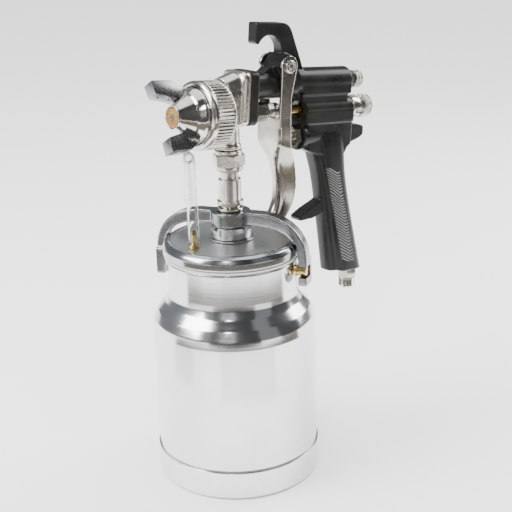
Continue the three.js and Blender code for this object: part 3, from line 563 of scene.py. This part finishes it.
def stem():
    side = [
        (5.2, 143), (6.4, 143), (6.4, 182.2), (7.4, 182.3), (8.4, 182.9, 0.4), (8.4, 185, 0.4), (7.2, 185.7, 0.2),
        (7.2, 198.8, 0.4)
    ]
    side += [
        (6.5, 199.3, 0.2), (5.8, 199.5), (5.8, 206.9), (6.7, 208.2), (6.7, 210.5), (5.2, 213.2), (4, 213.2),
        (4, 150.2), (5.2, 150.2)
    ]
    place(
        revolve("stem_turned", side, "z", 96, None, 0.2), "gun_and_cup", NICKEL_UP, TO_ROW, ["fluid_stem"]
    )
    ring = [(6.75, 178.75), (8.1, 178.75), (8.3, 179), (8.3, 180.1), (8.1, 180.35), (6.75, 180.35)]
    place(
        revolve("lock_ring_turned", ring, "z", 96, None, 0.1), "gun_and_cup", NICKEL_UP, TO_ROW,
        ["stem_lock_ring"]
    )
    nut = hexagon("union_hex", 10.6, 207.4, 215, "z", 7, math.radians(8))
    lower = revolve(
        "union_lower", [(6.2, 204.2), (8.6, 204.2), (8.8, 204.6), (8.8, 207.6), (7, 207.6), (7, 206.4), (6.2, 206.4)],
        "z", 96, None, 0.15
    )
    upper = revolve(
        "union_upper", [(7, 214.8), (8.7, 214.8), (8.7, 217.2), (8.4, 217.5), (7, 217.5)], "z", 96, None, 0.15
    )
    place(gathered(nut, lower, upper), "gun_and_cup", NICKEL_UP, TO_ROW, ["union_nut"])
    for name in ("stem_nut", "pickup_tube"):
        inner_node(name, STEEL)


def inner_node(name, material):
    """A CAD node that keeps its own mesh and gets a worked material."""
    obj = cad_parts[name]
    obj.data.materials.clear()
    obj.data.materials.append(material)


# ---- the yoke ----
def yoke():
    def arc(cx, cz, a, b, power, angles):
        return [(cx + a * abs(math.sin(t)) ** (2 / power), cz + b * abs(math.cos(t)) ** (2 / power)) for t in angles]

    quarter = [k / 24 * math.pi / 2 for k in range(25)]
    top = [(0, 178.4)] + arc(20, 150, 31.3, 28.4, 2.1, quarter)
    under = arc(18, 149, 27.6, 21, 2.4, quarter[::-1])
    outline = top + [(51.3, 134.4), (49.9, 133), (47, 133), (45.6, 134.4)] + under + [(0, 170)]
    arm = prism("yoke_arm", outline, -4.3, 4.3)
    foot = block("yoke_foot", (45.6, 51.3), (-4.3, 7), (133, 150.2))
    hub = revolve("yoke_hub", [(0, 169.4), (12.6, 169.4), (12.6, 178.4), (0, 178.4)], "z", 96, None, 0)
    half = gathered(arm, foot)
    other = copied(half, Matrix.Rotation(math.pi, 4, "Z"))
    body = cast(gathered(hub, half, other), 0.55, 5)
    slot = block("slot", (44, 53), (-9, 3.95), (138.15, 145.85), 1.2)
    tools = [slot, copied(slot, Matrix.Rotation(math.pi, 4, "Z")), bar("bore", 6.9, (0, 0, 160), (0, 0, 190), 64)]
    body = moved(carve(body, *tools), Matrix.Rotation(YOKE_ANGLE, 4, "Z"))
    place(body, "yoke", YOKE_METAL, TO_ROW, ["yoke"], 45)


# ---- the spray head ----
def on_neck(profile, name):
    return moved(
        revolve(name, profile, "z", 72, None, 0.2),
        Matrix.Rotation(-TILT, 4, "Y") @ Matrix.Translation((0, 0, -HEIGHT))
    )


def head():
    def plate(name, half, low, high, radius, x0, x1):
        corners = [(-half, low), (half, low), (half, high), (-half, high)]
        return prism(name, rounded(corners, radius, 6), x0, x1, "front", 0.35)

    barrel = revolve(
        "head_barrel", [(0, -20.6), (17.8, -20.6), (18.6, -19.8), (18.6, -8.7), (14.8, -8.7), (14.8, -3, 2), (0, -3)],
        "x", 96
    )
    core = plate("head_core", 9.6, -8, 16, 4, -8, 5)
    flange = plate("head_flange", 11, -7, 26.4, 4.5, 4.8, 8.2)
    air = bar("head_air_tube", 9, (-5.2, 0, 13.6), (5.4, 0, 17), 96, 0.3)
    neck = [
        (0, 213.9), (6.7, 213.9), (6.7, 217.8), (8.1, 218.2), (8.1, 220.6), (7.4, 221.4, 0.8), (7.4, 237.6),
        (0, 237.6)
    ]
    skin = cast(
        gathered(barrel, core, air, on_neck(neck, "head_neck"), plate("head_back", 10.7, -6.7, 26.1, 4.4, 4, 6.5)),
        0.45, 3
    )
    place(gathered(skin, flange), "gun_and_cup", NICKEL_CAST, TO_GUN, ["fluid_head"], 45)
    inner_node("head_gasket", FIBRE)


def spray_end():
    tip = [
        (1.1, -41.9), (1.6, -41.9), (1.6, -38), (2.4, -37.2), (2.4, -34), (7, -27), (8.6, -26), (8.6, -20.9),
        (5.4, -20.9), (5.4, -15)
    ]
    tip += [(3.3, -15), (3.3, -25), (1.1, -39.6)]
    place(revolve("nozzle_turned", tip, "x", 64, None, 0.1), "gun_and_cup", INNER, TO_GUN, ["fluid_nozzle"])
    face = revolve(
        "cap_face", [(2, -41.6), (5.9, -41.6), (6.2, -41.3), (6.2, -38.7), (2, -38.7)], "x", 72, None, 0.12
    )
    for y, z in ((2.9, 2.9), (4, 1.4), (-2.9, -2.9), (-4, -1.4)):
        face = carve(face, bar("jet", 0.45, (-43, y, z), (-38, y, z), 16))
    place(face, "air_cap", COPPER, TO_GUN, ["cap_insert"])
    front = [
        (6.5, -41.35), (7.0, -41.4, 0.15), (7.45, -40.7, 0.2), (7.45, -40.2, 0.2), (12.9, -32, 0.4), (14.2, -31, 0.9),
        (16.7, -28.2, 0.5)
    ]
    rim = [(17.2, -27, 0.4), (17.2, -23.9), (18.4, -23.4), (18.4, -20.9), (15.6, -20.9)]
    inner = [(15.6, -26), (10.4, -30.6), (6.2, -36.4), (5, -37), (5, -38.4), (6.5, -38.4)]
    place(
        revolve("cap_cone", front + rim + inner, "x", 128, None, 0.2), "air_cap", CHROME, TO_GUN,
        ["air_cap"]
    )
    for k, turn in enumerate((0, math.pi)):
        horn("cap_horn_" + "ab"[k], turn)


def horn(name, turn):
    side = [
        (-28, 14), (-30, 17.6, 1.5), (-36.6, 22.0, 0.8), (-51.2, 22.3, 0.6), (-50.7, 13.8, 0.5), (-40, 11.4, 0),
        (-37, 9.9, 0), (-32, 12)
    ]
    body = prism(name, rounded(side, 0.3, 3), -4.2, 4.2)
    body = bevelled(body, 0.35, 3, 25)
    for a, b in (((-45.8, 0, 17), (-48.2, 0, 9.5)), ((-38.6, 0, 16.2), (-41, 0, 8.2))):
        body = carve(body, bar("horn_jet", 0.85, a, b, 20))
    place(moved(body, Matrix.Rotation(turn - ROLL, 4, "X")), "air_cap", CHROME_DULL, TO_GUN, (), 30)


def ring():
    def fluted(r, h, t):
        on = -21.4 < h < -10.2 and r > 20
        return r - (0.62 * (0.5 - 0.5 * math.cos(FLUTES * t)) ** 1.4 if on else 0)

    lip = [
        (17.7, -25.6), (17.9, -25.9), (19.5, -25.9, 0.5), (20.7, -25.1, 0.6), (21, -24.1, 0.5), (21, -22.4, 0.2),
        (20.5, -22.1, 0.1), (20.5, -21.6, 0.1)
    ]
    skirt = [
        (20.95, -21.3, 0), (20.95, -21.1, 0), (20.95, -10.5, 0), (20.95, -10.2, 0), (20.5, -9.9, 0.1),
        (20.8, -9.5, 0.2), (20.3, -8.3, 0.3)
    ]
    side = lip + skirt + [(19.1, -8.3), (19.1, -23.7), (17.7, -24.1)]
    place(
        revolve("ring_fluted", side, "x", FLUTES * 10, fluted, 0.15), "retaining_ring", NICKEL, TO_GUN,
        ["retaining_ring"], 28
    )


# ---- needle line ----
def needle_line():
    place(
        revolve(
            "needle_rod", [(0, -41.8), (0.6, -41.1), (0.75, -39.3), (1.3, -35), (1.3, 57.6), (0, 57.6)], "x", 32,
            None, 0.05
        ),
        "needle", INNER, TO_GUN, ["needle"]
    )
    stop = revolve(
        "needle_stop", [(1.6, 36), (5.2, 36), (5.5, 36.3), (5.5, 39.1), (5.2, 39.4), (1.6, 39.4)], "x", 64, None, 0.12
    )
    stop = carve(stop, bar("grub", 1.15, (37.7, 0, 0.9), (37.7, -6, 5.1), 24))
    place(stop, "needle", NICKEL, TO_GUN, ["needle_collar"])
    sleeve = [(1.6, 46), (2.9, 46), (3.3, 46.5), (3.3, 67.3), (5.4, 67.6), (5.4, 69), (0, 69), (0, 58), (1.6, 58)]
    place(revolve("sleeve_turned", sleeve, "x", 64, None, 0.1), "needle", BRASS, TO_GUN, ["needle_sleeve"])
    shank = revolve(
        "packing_shank", [(1.65, 0.9), (4.2, 0.9), (4.2, 16.3), (5.1, 16.3), (5.1, 21), (1.65, 21)], "x", 64, None,
        0.1
    )
    place(
        gathered(hexagon("packing_hex", 6.2, 20.8, 30, "x", 1.65, math.radians(12)), shank), "gun_and_cup",
        NICKEL, TO_GUN, ["packing_nut"]
    )
    for name, material in (
        ("needle_set_screw", INNER), ("needle_packing", RUBBER), ("needle_spring", INNER), ("spring_seat", BRASS)
    ):
        inner_node(name, material)


def knurl(low, high, starts, outer):
    """A wave for revolve: crossed grooves round a knob between two heights."""
    def shape(r, h, t):
        if not (low <= h <= high and r > outer - 0.35):
            return r
        a, b = t + (h - low) * KNURL_SLOPE, t - (h - low) * KNURL_SLOPE
        return r - KNURL_DEPTH * max(abs(math.sin(starts * a / 2)) ** 6, abs(math.sin(starts * b / 2)) ** 6)

    return shape


def knob(name, radius, low, high, front, starts):
    side = rows(
        [(front, low), (radius - 0.4, low), (radius, low + 0.45)], 9
    ) + rows([(radius, low + 0.5), (radius, high - 0.75)], 0.33)
    side += [(radius - 0.7, high), (radius - 1.6, high), (radius - 1.9, high - 0.25), (0, high - 0.25)]
    return revolve(name, side, "x", starts * 8, knurl(low + 0.45, high - 0.7, starts, radius), 0)


def fluid_control():
    side = [(5.5, 95), (6.6, 95), (6.6, 102.7), (7.3, 102.7), (7.8, 103.1), (7.8, 109.2), (7.4, 109.6), (5.5, 109.6)]
    bush = revolve("bushing_turned", side, "x", 96, None, 0.15)
    for k in range(4):
        slot = block("slot", (105, 111), (-1.5, 1.5), (4, 9))
        bush = carve(bush, moved(slot, Matrix.Rotation(k * math.pi / 2 + math.radians(20), 4, "X")))
    place(bevelled(bush, 0.12, 2, 40), "gun_and_cup", NICKEL, TO_GUN, ["fluid_bushing"])
    shank = [(4.5, 96)] + [(5.2 - 0.28 * (k % 2), 96 + 0.45 * k) for k in range(40)] + [(5.2, 114), (4.5, 114)]
    place(revolve("knob_thread", shank, "x", 64, None, 0), "fluid_knob", INNER, TO_GUN, ())
    place(knob("knob_head", 7.8, 113.8, 121.1, 4.5, 40), "fluid_knob", NICKEL, TO_GUN, ["fluid_knob"], 25)


def fan_control():
    up = Matrix.Translation((0, 0, FAN_Z))
    thread = revolve("fan_thread", [(3, 91), (4.7, 91), (4.7, 99.4), (3, 99.4)], "x", 48, None, 0.1)
    nut = gathered(hexagon("fan_hex", 6.4, 99.1, 104.2, "x", 3, math.radians(20)), thread)
    place(moved(nut, up), "gun_and_cup", NICKEL, TO_GUN, ["fan_bushing"])
    shaft = revolve(
        "fan_stem", [(0, 60.6), (1.5, 60.6), (1.5, 66), (2.7, 66.4), (2.7, 105.6), (0, 105.6)], "x", 40, None, 0.1
    )
    grip_end = knob("fan_knob_head", 5.9, 105.2, 112.1, 2.0, 32)
    place(moved(gathered(grip_end, shaft), up), "fan_knob", NICKEL, TO_GUN, ["fan_knob"], 25)
    inner_node("fan_plug", BRASS)


# ---- gun body ----
# Each row of GRIP is a height, the middle, the half depth, the half width and how far the ring drops to its back.
# Each row of SECTION is a share of the half depth and of the half width, from the front to the back.
GRIP = [
    (-16, 82.2, 16, 8.0, 0), (-32, 85.4, 13.8, 9.2, 1), (-44, 88.4, 12.6, 9.5, 2), (-60, 92.6, 12.7, 9.7, 2.4),
    (-88, 100.2, 13.8, 10.1, 2), (-113.6, 107.1, 14.8, 10.4, 0)
]
SECTION = [
    (-1, 0), (-0.985, 0.26), (-0.92, 0.46), (-0.80, 0.57), (-0.68, 0.60), (-0.58, 0.64), (-0.50, 0.76), (-0.41, 0.93),
    (-0.30, 1.0), (0.20, 1.0), (0.62, 0.96), (0.86, 0.76), (0.97, 0.40), (1, 0)
]


def waisted(u, along):
    """The front half of a section drawn forward, most at the top of the grip."""
    return u - 0.24 * (1 - along) * max(0.0, 1 - ((u + 0.5) / 0.5) ** 2)


def grip_point(along, around):
    """A point of the grip's skin: along from 0 at the top to 1, around from 0 at the front to 1 at the back."""
    z, middle, depth, width, drop = between(GRIP, along)
    u, v = between(SECTION, around)
    u = waisted(u, along)
    return Vector((middle + u * depth, v * width, z - drop * u))


def grip():
    rings = []
    for k in range(49):
        half = [grip_point(k / 48, i / 44) for i in range(45)]
        rings.append(half + [Vector((p.x, -p.y, p.z)) for p in half[-2:0:-1]])
    return loft("grip", rings)


def body():
    def round_of(radius, turns):
        return [(HOOK_EYE[0] + radius * math.cos(t), HOOK_EYE[1] + radius * math.sin(t)) for t in turns]

    def side(name, points, half, radius, bevel=0.9):
        return prism(name, rounded(points, radius, 5), -half, half, "side", bevel)

    hole = round_of(HOOK_R, [math.pi * (-0.5 + 1.36 * k / 28) for k in range(29)])
    hook = [
        (17, 43.2, 0.8), (17, 55.4, 1.2), (43.8, 55.4, 9.5), (58.4, 25), (60, 14), (24, 14), (24, 24.6, 0),
        (27, 26.6, 0)
    ]
    hook += [(x, z, 0) for x, z in hole] + [(18.6, 42.0, 0.4)]
    parts = [side("hook", hook, 4.3, 0.6)]
    parts.append(
        prism(
            "flange", rounded([(-11.3, -7.2), (11.3, -7.2), (11.3, 26.6), (-11.3, 26.6)], 5, 6), 9.4, 16, "front", 0.6
        )
    )
    parts.append(bar("front_tube", 8.6, (12, 0, AIR_Z - 0.3), (52, 0, AIR_Z - 0.3), 64))
    parts.append(bar("pivot_boss", 7.6, (PIVOT[0], -8.9, PIVOT[1]), (PIVOT[0], 8.9, PIVOT[1]), 64, 0.5))
    fan = [(0, 46), (6, 46), (8.8, 52), (8.8, 98.8, 1.2), (0, 98.8)]
    parts.append(moved(revolve("fan_housing", fan, "x", 96, None, 0.3), Matrix.Translation((0, 0, FAN_Z))))
    parts.append(revolve("fluid_housing", [(0, 57), (8.1, 58.5), (8.1, 102.4, 0.7), (0, 102.4)], "x", 96, None, 0.3))
    parts.append(block("web", (56, 97.4), (-6.6, 6.6), (2, 16), 0.5))
    parts.append(block("fan_skirt", (55, 98.6), (-8.5, 8.5), (9.8, 18), 0.6))
    parts.append(bar("eye", 8.8, (WINDOW[0], -3.95, WINDOW[1]), (WINDOW[0], 3.95, WINDOW[1]), 72, 0.5))
    parts.append(block("eye_links", (47.4, 60), (-3.95, 3.95), (1, 15), 0.4))
    parts.append(bar("valve_boss", 9.2, (58, 0, VALVE_Z), (84, 0, VALVE_Z), 72, 0.6, 7.4))
    parts.append(block("valve_link", (58.2, 64), (-5.9, 5.9), (-14, 0), 0.4))
    handle = [(62, -4), (62, -26.4, 2), (72, -29.4, 2), (97, -30), (98.6, -26.6, 2), (102, -24), (102, -4)]
    parts.append(side("handle", handle, 7.9, 0.4, 1.2))
    parts.append(block("housing_skirt", (59, 102.4), (-8.7, 8.7), (-9, 0), 0.7))
    tang = [
        (92, -11), (112, -12, 1), (116.6, -13.2, 2), (116.8, -19.4, 2), (113, -21.6, 2), (103, -24.6, 4),
        (97.4, -31, 3), (92, -38)
    ]
    parts.append(side("tang", tang, 4.4, 0.5, 1.4))
    spur = [
        (90, -57.5), (79, -63, 6), (69, -67.2, 4), (61.4, -71.6, 1.2), (62.6, -74.4, 1.0), (74, -73.6, 5),
        (84, -70.6, 3), (92, -76)
    ]
    parts.append(side("spur", spur, 4.6, 0.5, 1.6))
    skin = cast(gathered(*parts, grip()), 0.5, 5)
    lens = round_of(HOOK_R - 0.15, [2 * math.pi * k / 64 for k in range(64)])
    skin = carve(skin, prism("t", lens, -12, 12, "side"))
    tools = [
        bar("t", 4.5, (6, 0, 0), (20, 0, 0), 40),
        bar("t", WINDOW_R, (WINDOW[0], -12, WINDOW[1]), (WINDOW[0], 12, WINDOW[1]), 56),
        bar("t", 3.7, (40, 0, 0), (68, 0, 0), 40),
        bar("t", 6.9, (67, 0, 0), (106, 0, 0), 56),
        bar("t", 5.0, (55, 0, FAN_Z), (102, 0, FAN_Z), 40),
        bar("t", 5.0, (69, 0, VALVE_Z), (94, 0, VALVE_Z), 40),
        bar("t", 6.6, (52, 0, VALVE_Z), (71, 0, VALVE_Z), 56),
        bar("t", 5.4, (114.9, 0, -119), (114.3, 0, -106), 40),
    ]
    place(carve(skin, *tools), "gun_and_cup", ENAMEL, TO_GUN, ["gun_body"], 50)
    for name, mirror in (("grip_panel_left", -1), ("grip_panel_right", 1)):
        grip_panel(name, mirror)


def grip_level(height):
    """The share of the way along the grip's rings at which a height is reached."""
    k = next(i for i in range(len(GRIP) - 1) if height >= GRIP[i + 1][0])
    high, low = GRIP[k][0], GRIP[k + 1][0]
    return (k + (high - height) / (high - low)) / (len(GRIP) - 1)


def grip_around(along, wanted):
    """The place around the grip's skin that lies a given part of the way back."""
    low, high = 0.3, 0.95
    for _ in range(18):
        half = (low + high) / 2
        u = waisted(between(SECTION, half)[0], along)
        low, high = (half, high) if u < wanted else (low, half)
    return (low + high) / 2


def grip_panel(name, mirror):
    """Fine slanting ribs with a chevron at their rear end, raised on the grip's side; their grey, lighter than the
    enamel, is a painted highlight.
    """
    top, bottom, ribs, steps = -40.0, -105.0, 32, 14
    verts, faces = [], []
    for k in range(ribs):
        start = len(verts)
        for i in range(steps + 1):
            w = i / steps
            for offset, rise in ((-0.0095, -0.05), (0.0, 0.34), (0.0095, -0.05)):
                s = min(
                    max((k + 0.5) / ribs + (w - 0.76 if w < 0.76 else 0.76 - w) * 0.085 + 0.035 + offset, 0.0), 1.0
                )
                along = grip_level(top + (bottom - top) * s)
                front, back = -0.62 + 0.24 * s, 0.30 + 0.12 * s
                p = grip_point(along, grip_around(along, front + (back - front) * w))
                verts.append((p.x, mirror * (p.y + rise), p.z))
        for i in range(steps):
            a, b = start + 3 * i, start + 3 * i + 3
            faces += [[a, a + 1, b + 1, b], [a + 1, a + 2, b + 2, b + 1], [a + 2, a, b, b + 2]]
        last = start + 3 * steps
        faces += [[start, start + 1, start + 2], [last, last + 1, last + 2]]
    place(new_object(name, verts, faces), "gun_and_cup", RIB_PAINTED_HIGHLIGHT, TO_GUN, (), 30)


# ---- air valve and inlet ----
def valve():
    down = Matrix.Translation((0, 0, VALVE_Z))
    nose = revolve(
        "gland_nose", [(2, 46.5), (3.4, 46.5, 0.4), (4.5, 47.8, 0.4), (4.5, 52.6), (2, 52.6)], "x", 64, None, 0.15
    )
    thread = revolve("gland_thread", [(2, 57), (6.2, 57), (6.2, 70.4), (2, 70.4)], "x", 64, None, 0.15)
    nut = gathered(hexagon("gland_hex", 7.9, 52, 57.7, "x", 2, math.radians(14)), nose, thread)
    place(moved(nut, down), "gun_and_cup", NICKEL, TO_GUN, ["valve_gland"])
    side = [(0, 36.6), (1.2, 36.6), (1.6, 37), (1.6, 70.7), (4.4, 70.7), (4.4, 73.6), (1.8, 74), (1.8, 78), (0, 78)]
    place(
        moved(revolve("valve_pin", side, "x", 40, None, 0.1), down), "air_valve", INNER, TO_GUN,
        ["valve_stem"]
    )
    inner_node("valve_spring", INNER)


def inlet():
    nut = hexagon("inlet_hex", 7, -0.9, 5.6, "z", 3, math.radians(10))
    thread = revolve("inlet_thread", [(3, -7.5), (5, -7.5), (5, 1.6), (3, 1.6)], "z", 48, None, 0.1)
    ridges = [(5.6 - 0.42 * (k % 2), 7.2 + 0.42 * k) for k in range(14)]
    end = revolve(
        "inlet_spigot", [(3, 5.4), (4.8, 5.4), (4.8, 6.7)] + ridges + [(5.1, 13.4), (4.9, 13.6), (3, 13.6)], "z", 64,
        None, 0.04
    )
    lean = Matrix.Translation((114.6, 0, -115.5)) @ Matrix.Rotation(math.pi - math.radians(5), 4, "Y")
    place(moved(gathered(nut, thread, end), lean), "gun_and_cup", NICKEL_UP, TO_GUN, ["inlet_nipple"])


# ---- trigger ----
# Each row is the front x and z, the back x and z, the half widths at front and back, and the front corners' radius.
FINGER = [
    (
        33.6, -3.6, 43.2, -3.6, 11.4, 11.4, 2.0
    ), (34, -19, 44.6, -20.5, 11.4, 11.4, 2.4), (35.4, -25, 47.8, -26.6, 8.6, 9.8, 3.0),
    (
        37.6, -30.5, 51, -32.6, 5.4, 8.3, 3.6
    ), (40.4, -40, 53.8, -42, 4.6, 7.4, 3.8), (42, -50, 54.4, -51, 4.6, 7.2, 3.8),
    (
        41.6, -58.5, 52.6, -60, 4.6, 7.2, 3.8
    ), (39.8, -64.6, 48, -68, 4.8, 7.2, 3.8), (37.8, -67.6, 43.4, -72, 5, 7, 3.8),
]


def channel(fx, fz, bx, bz, front, back, radius):
    """One cross-section of the trigger's folded channel, open at the back."""
    depth = math.hypot(bx - fx, bz - fz)
    ux, uz = (bx - fx) / depth, (bz - fz) / depth

    def half(inset):
        w, r = front - inset, max(radius - inset * 0.8, 0.4)
        arcs = [
            (inset + r - r * math.sin(t), w - r + r * math.cos(t)) for t in [k / 10 * math.pi / 2 for k in range(11)]
        ]
        u0, v0 = arcs[0]
        wall = [(depth + (u0 - depth) * k / 8, back - inset + (v0 - back + inset) * (k / 8) ** 1.4) for k in range(8)]
        return wall + arcs

    def mirror(points):
        return [(u, -v) for u, v in points[::-1]]

    outer = half(0) + mirror(half(0))
    inner = (half(SHEET) + mirror(half(SHEET)))[::-1]
    return [Vector((fx + ux * u, v, fz + uz * u)) for u, v in outer + inner]


def trigger():
    shell = loft("trigger_channel", [channel(*between(FINGER, k / 80)) for k in range(81)])
    eye = [
        (PIVOT[0] + 6.6 * math.cos(t), PIVOT[1] + 6.6 * math.sin(t))
        for t in [math.radians(200 - k * 6.6) for k in range(31)]
    ]
    arm = [(33.6, -9), (33.6, -2)] + eye + [(42.6, 10), (43.4, -9)]
    plates = [prism("trigger_arm", arm, *span) for span in ((-ARM_OUT, -ARM_OUT + SHEET), (ARM_OUT - SHEET, ARM_OUT))]
    solid = cast(gathered(shell, *plates), 0.4, 2)
    solid = carve(solid, bar("t", 2.7, (PIVOT[0], -14, PIVOT[1]), (PIVOT[0], 14, PIVOT[1]), 48))
    place(solid, "trigger", TRIGGER_METAL, TO_GUN, ["trigger"], 40)


def pivot():
    out = Matrix.Translation((PIVOT[0], 0, PIVOT[1])) @ Matrix.Rotation(math.pi / 2, 4, "X")
    side = [
        (0, -14), (2.3, -14), (2.3, 11.7), (4.1, 11.7, 0.2), (4.1, 12.6, 0.4), (3.5, 13.1, 0.3), (2.6, 13.1, 0.1),
        (2.5, 12.7, 0.1), (1.9, 12.7, 0.1)
    ]
    screw = revolve("pivot_turned", side + [(1.7, 12.95, 0.2), (0, 13.0)], "z", 72, None, 0.1)
    place(moved(screw, out), "gun_and_cup", NICKEL_CAST, TO_GUN, ["pivot_screw"])
    nut = revolve(
        "pivot_nut_turned", [(2.6, -13.8), (3.9, -13.8), (4.2, -13.5), (4.2, -11.7), (2.6, -11.7)], "z", 64, None,
        0.15
    )
    place(moved(nut, out), "gun_and_cup", ENAMEL, TO_GUN, ["pivot_nut"])


for make in (
    cup, cup_pins, lid, collar, vent, stem, yoke, head, spray_end, ring, needle_line, fluid_control, fan_control,
    body, valve, inlet, trigger, pivot
):
    make()


# ---- stage, light and camera ----
def stage_sheet(name, corners, material):
    mesh = bpy.data.meshes.new(name)
    mesh.from_pydata(corners, [], [list(range(len(corners)))])
    obj = bpy.data.objects.new(name, mesh)
    obj.data.materials.append(material)
    scene.collection.objects.link(obj)
    return obj


def reflected_only(obj):
    """The metal shows it, as it shows the dark room round a light tent; the floor and the camera don't."""
    obj.visible_camera = obj.visible_shadow = obj.visible_diffuse = False


def paper(name, tone, spot, tint=(1.0, 1.0, 1.0)):
    mat, tree, bsdf = shader(name)
    where = node(tree, "ShaderNodeTexCoord").outputs["Object"]
    grain = noise(tree, where, 40.0, 4.0)
    tree.links.new(
        blended(tree, grain, (*[tone * c for c in tint], 1), (*[tone * spot * c for c in tint], 1)),
        bsdf.inputs["Base Color"]
    )
    bsdf.inputs["Roughness"].default_value = 0.9
    return mat


def lamp(name, at, aim, size, power):
    data = bpy.data.lights.new(name, "AREA")
    data.shape, data.size, data.size_y, data.energy = "RECTANGLE", size[0], size[1], power
    obj = bpy.data.objects.new(name, data)
    obj.location = at
    obj.rotation_euler = (Vector(aim) - Vector(at)).to_track_quat("-Z", "Y").to_euler()
    scene.collection.objects.link(obj)


def surroundings():
    world = bpy.data.worlds.new("studio")
    scene.world = world
    world.use_nodes = True
    world.node_tree.nodes["Background"].inputs["Color"].default_value = (0.93, 0.96, 1, 1)
    world.node_tree.nodes["Background"].inputs["Strength"].default_value = 0.26
    white, dark = paper("white_paper", 0.97, 0.985), paper("dark_card", 0.018, 0.8)
    stage_sheet("floor", [(-9, -9, 0), (9, -9, 0), (9, 9, 0), (-9, 9, 0)], white)

    def facing(turn, near, half, low, high):
        """Corners of a card standing across the line that leaves the gun at an angle on the camera's side."""
        t = math.radians(turn)
        out, side = Vector((-math.sin(t), -math.cos(t), 0)), Vector((math.cos(t), -math.sin(t), 0))
        return [
            out * near + side * s * half + Vector((0, 0, z)) for s, z in ((-1, low), (1, low), (1, high), (-1, high))
        ]

    reflected_only(stage_sheet("card_behind_camera", facing(VIEW_TURN, 1.05, 0.75, 0.0, 2.4), dark))
    reflected_only(stage_sheet("card_on_the_right", facing(-44, 1.0, 0.32, 0.0, 1.8), dark))

    def ring_sheet(name, first, last, near, far, z, material):
        """A sheet on the floor between two angles from the camera's side and two distances from the gun."""
        turns = [math.radians(VIEW_TURN + first + (last - first) * k / 24) for k in range(25)]
        inner = [Vector((-math.sin(t) * near, -math.cos(t) * near, z)) for t in turns]
        outer = [Vector((-math.sin(t) * far, -math.cos(t) * far, z)) for t in turns[::-1]]
        reflected_only(stage_sheet(name, inner + outer, material))

    ring_sheet("table_edge", -92, 84, 0.325, 0.93, 0.002, paper("table_edge_brown", 0.075, 0.6, (1.0, 0.82, 0.6)))
    ring_sheet("paper_fold_front", -50, 20, 0.17, 0.324, 0.001, paper("fold_front", 0.78, 0.97))
    ring_sheet("paper_fold_side", 56, 84, 0.20, 0.324, 0.001, paper("fold_side", 0.72, 0.97))


def daylight():
    """A soft sun for the floor, which the metal doesn't show as a highlight."""
    data = bpy.data.lights.new("daylight", "SUN")
    data.energy, data.angle = 5.4, 1.9
    obj = bpy.data.objects.new("daylight", data)
    obj.visible_glossy = False
    scene.collection.objects.link(obj)


CAMERA_ANGLES = (37.9, 19.188, 1.393, -1.653)  # azimuth, pitch down, yaw and roll in degrees
CAMERA_AT = (0, -0.62745, 0.36504)  # metres, before the azimuth
LENS = 72.55


def camera():
    phi, pitch, yaw, roll = (math.radians(a) for a in CAMERA_ANGLES)
    aim = Vector((math.sin(yaw) * math.cos(pitch), math.cos(yaw) * math.cos(pitch), -math.sin(pitch)))
    right = Vector((math.cos(yaw), -math.sin(yaw), 0))
    up = right.cross(aim)
    right, up = right * math.cos(roll) + up * math.sin(roll), up * math.cos(roll) - right * math.sin(roll)
    spin = Matrix.Rotation(-phi, 3, "Z")
    right, up, aim = spin @ right, spin @ up, spin @ aim
    data = bpy.data.cameras.new("camera")
    data.lens, data.sensor_width, data.clip_start = LENS, 36, 0.01
    obj = bpy.data.objects.new("camera", data)
    here = spin @ Vector(CAMERA_AT)
    obj.matrix_world = Matrix((
        (right.x, up.x, -aim.x, here.x),
        (right.y, up.y, -aim.y, here.y),
        (right.z, up.z, -aim.z, here.z),
        (0, 0, 0, 1),
    ))
    scene.collection.objects.link(obj)
    scene.camera = obj


surroundings()
lamp("key", (-1.0, 0.35, 1.0), (0, 0, 0.2), (0.8, 0.8), 26)
lamp("overhead", (0.1, 0.3, 1.7), (0, 0, 0.1), (1.6, 1.6), 12)
lamp("strip", (-0.85, -0.75, 0.75), (0, 0, 0.2), (0.10, 0.8), 5)
lamp("right_fill", (1.0, -0.2, 0.7), (0, 0, 0.2), (0.5, 0.8), 10)
daylight()
camera()

bpy.context.view_layer.update()
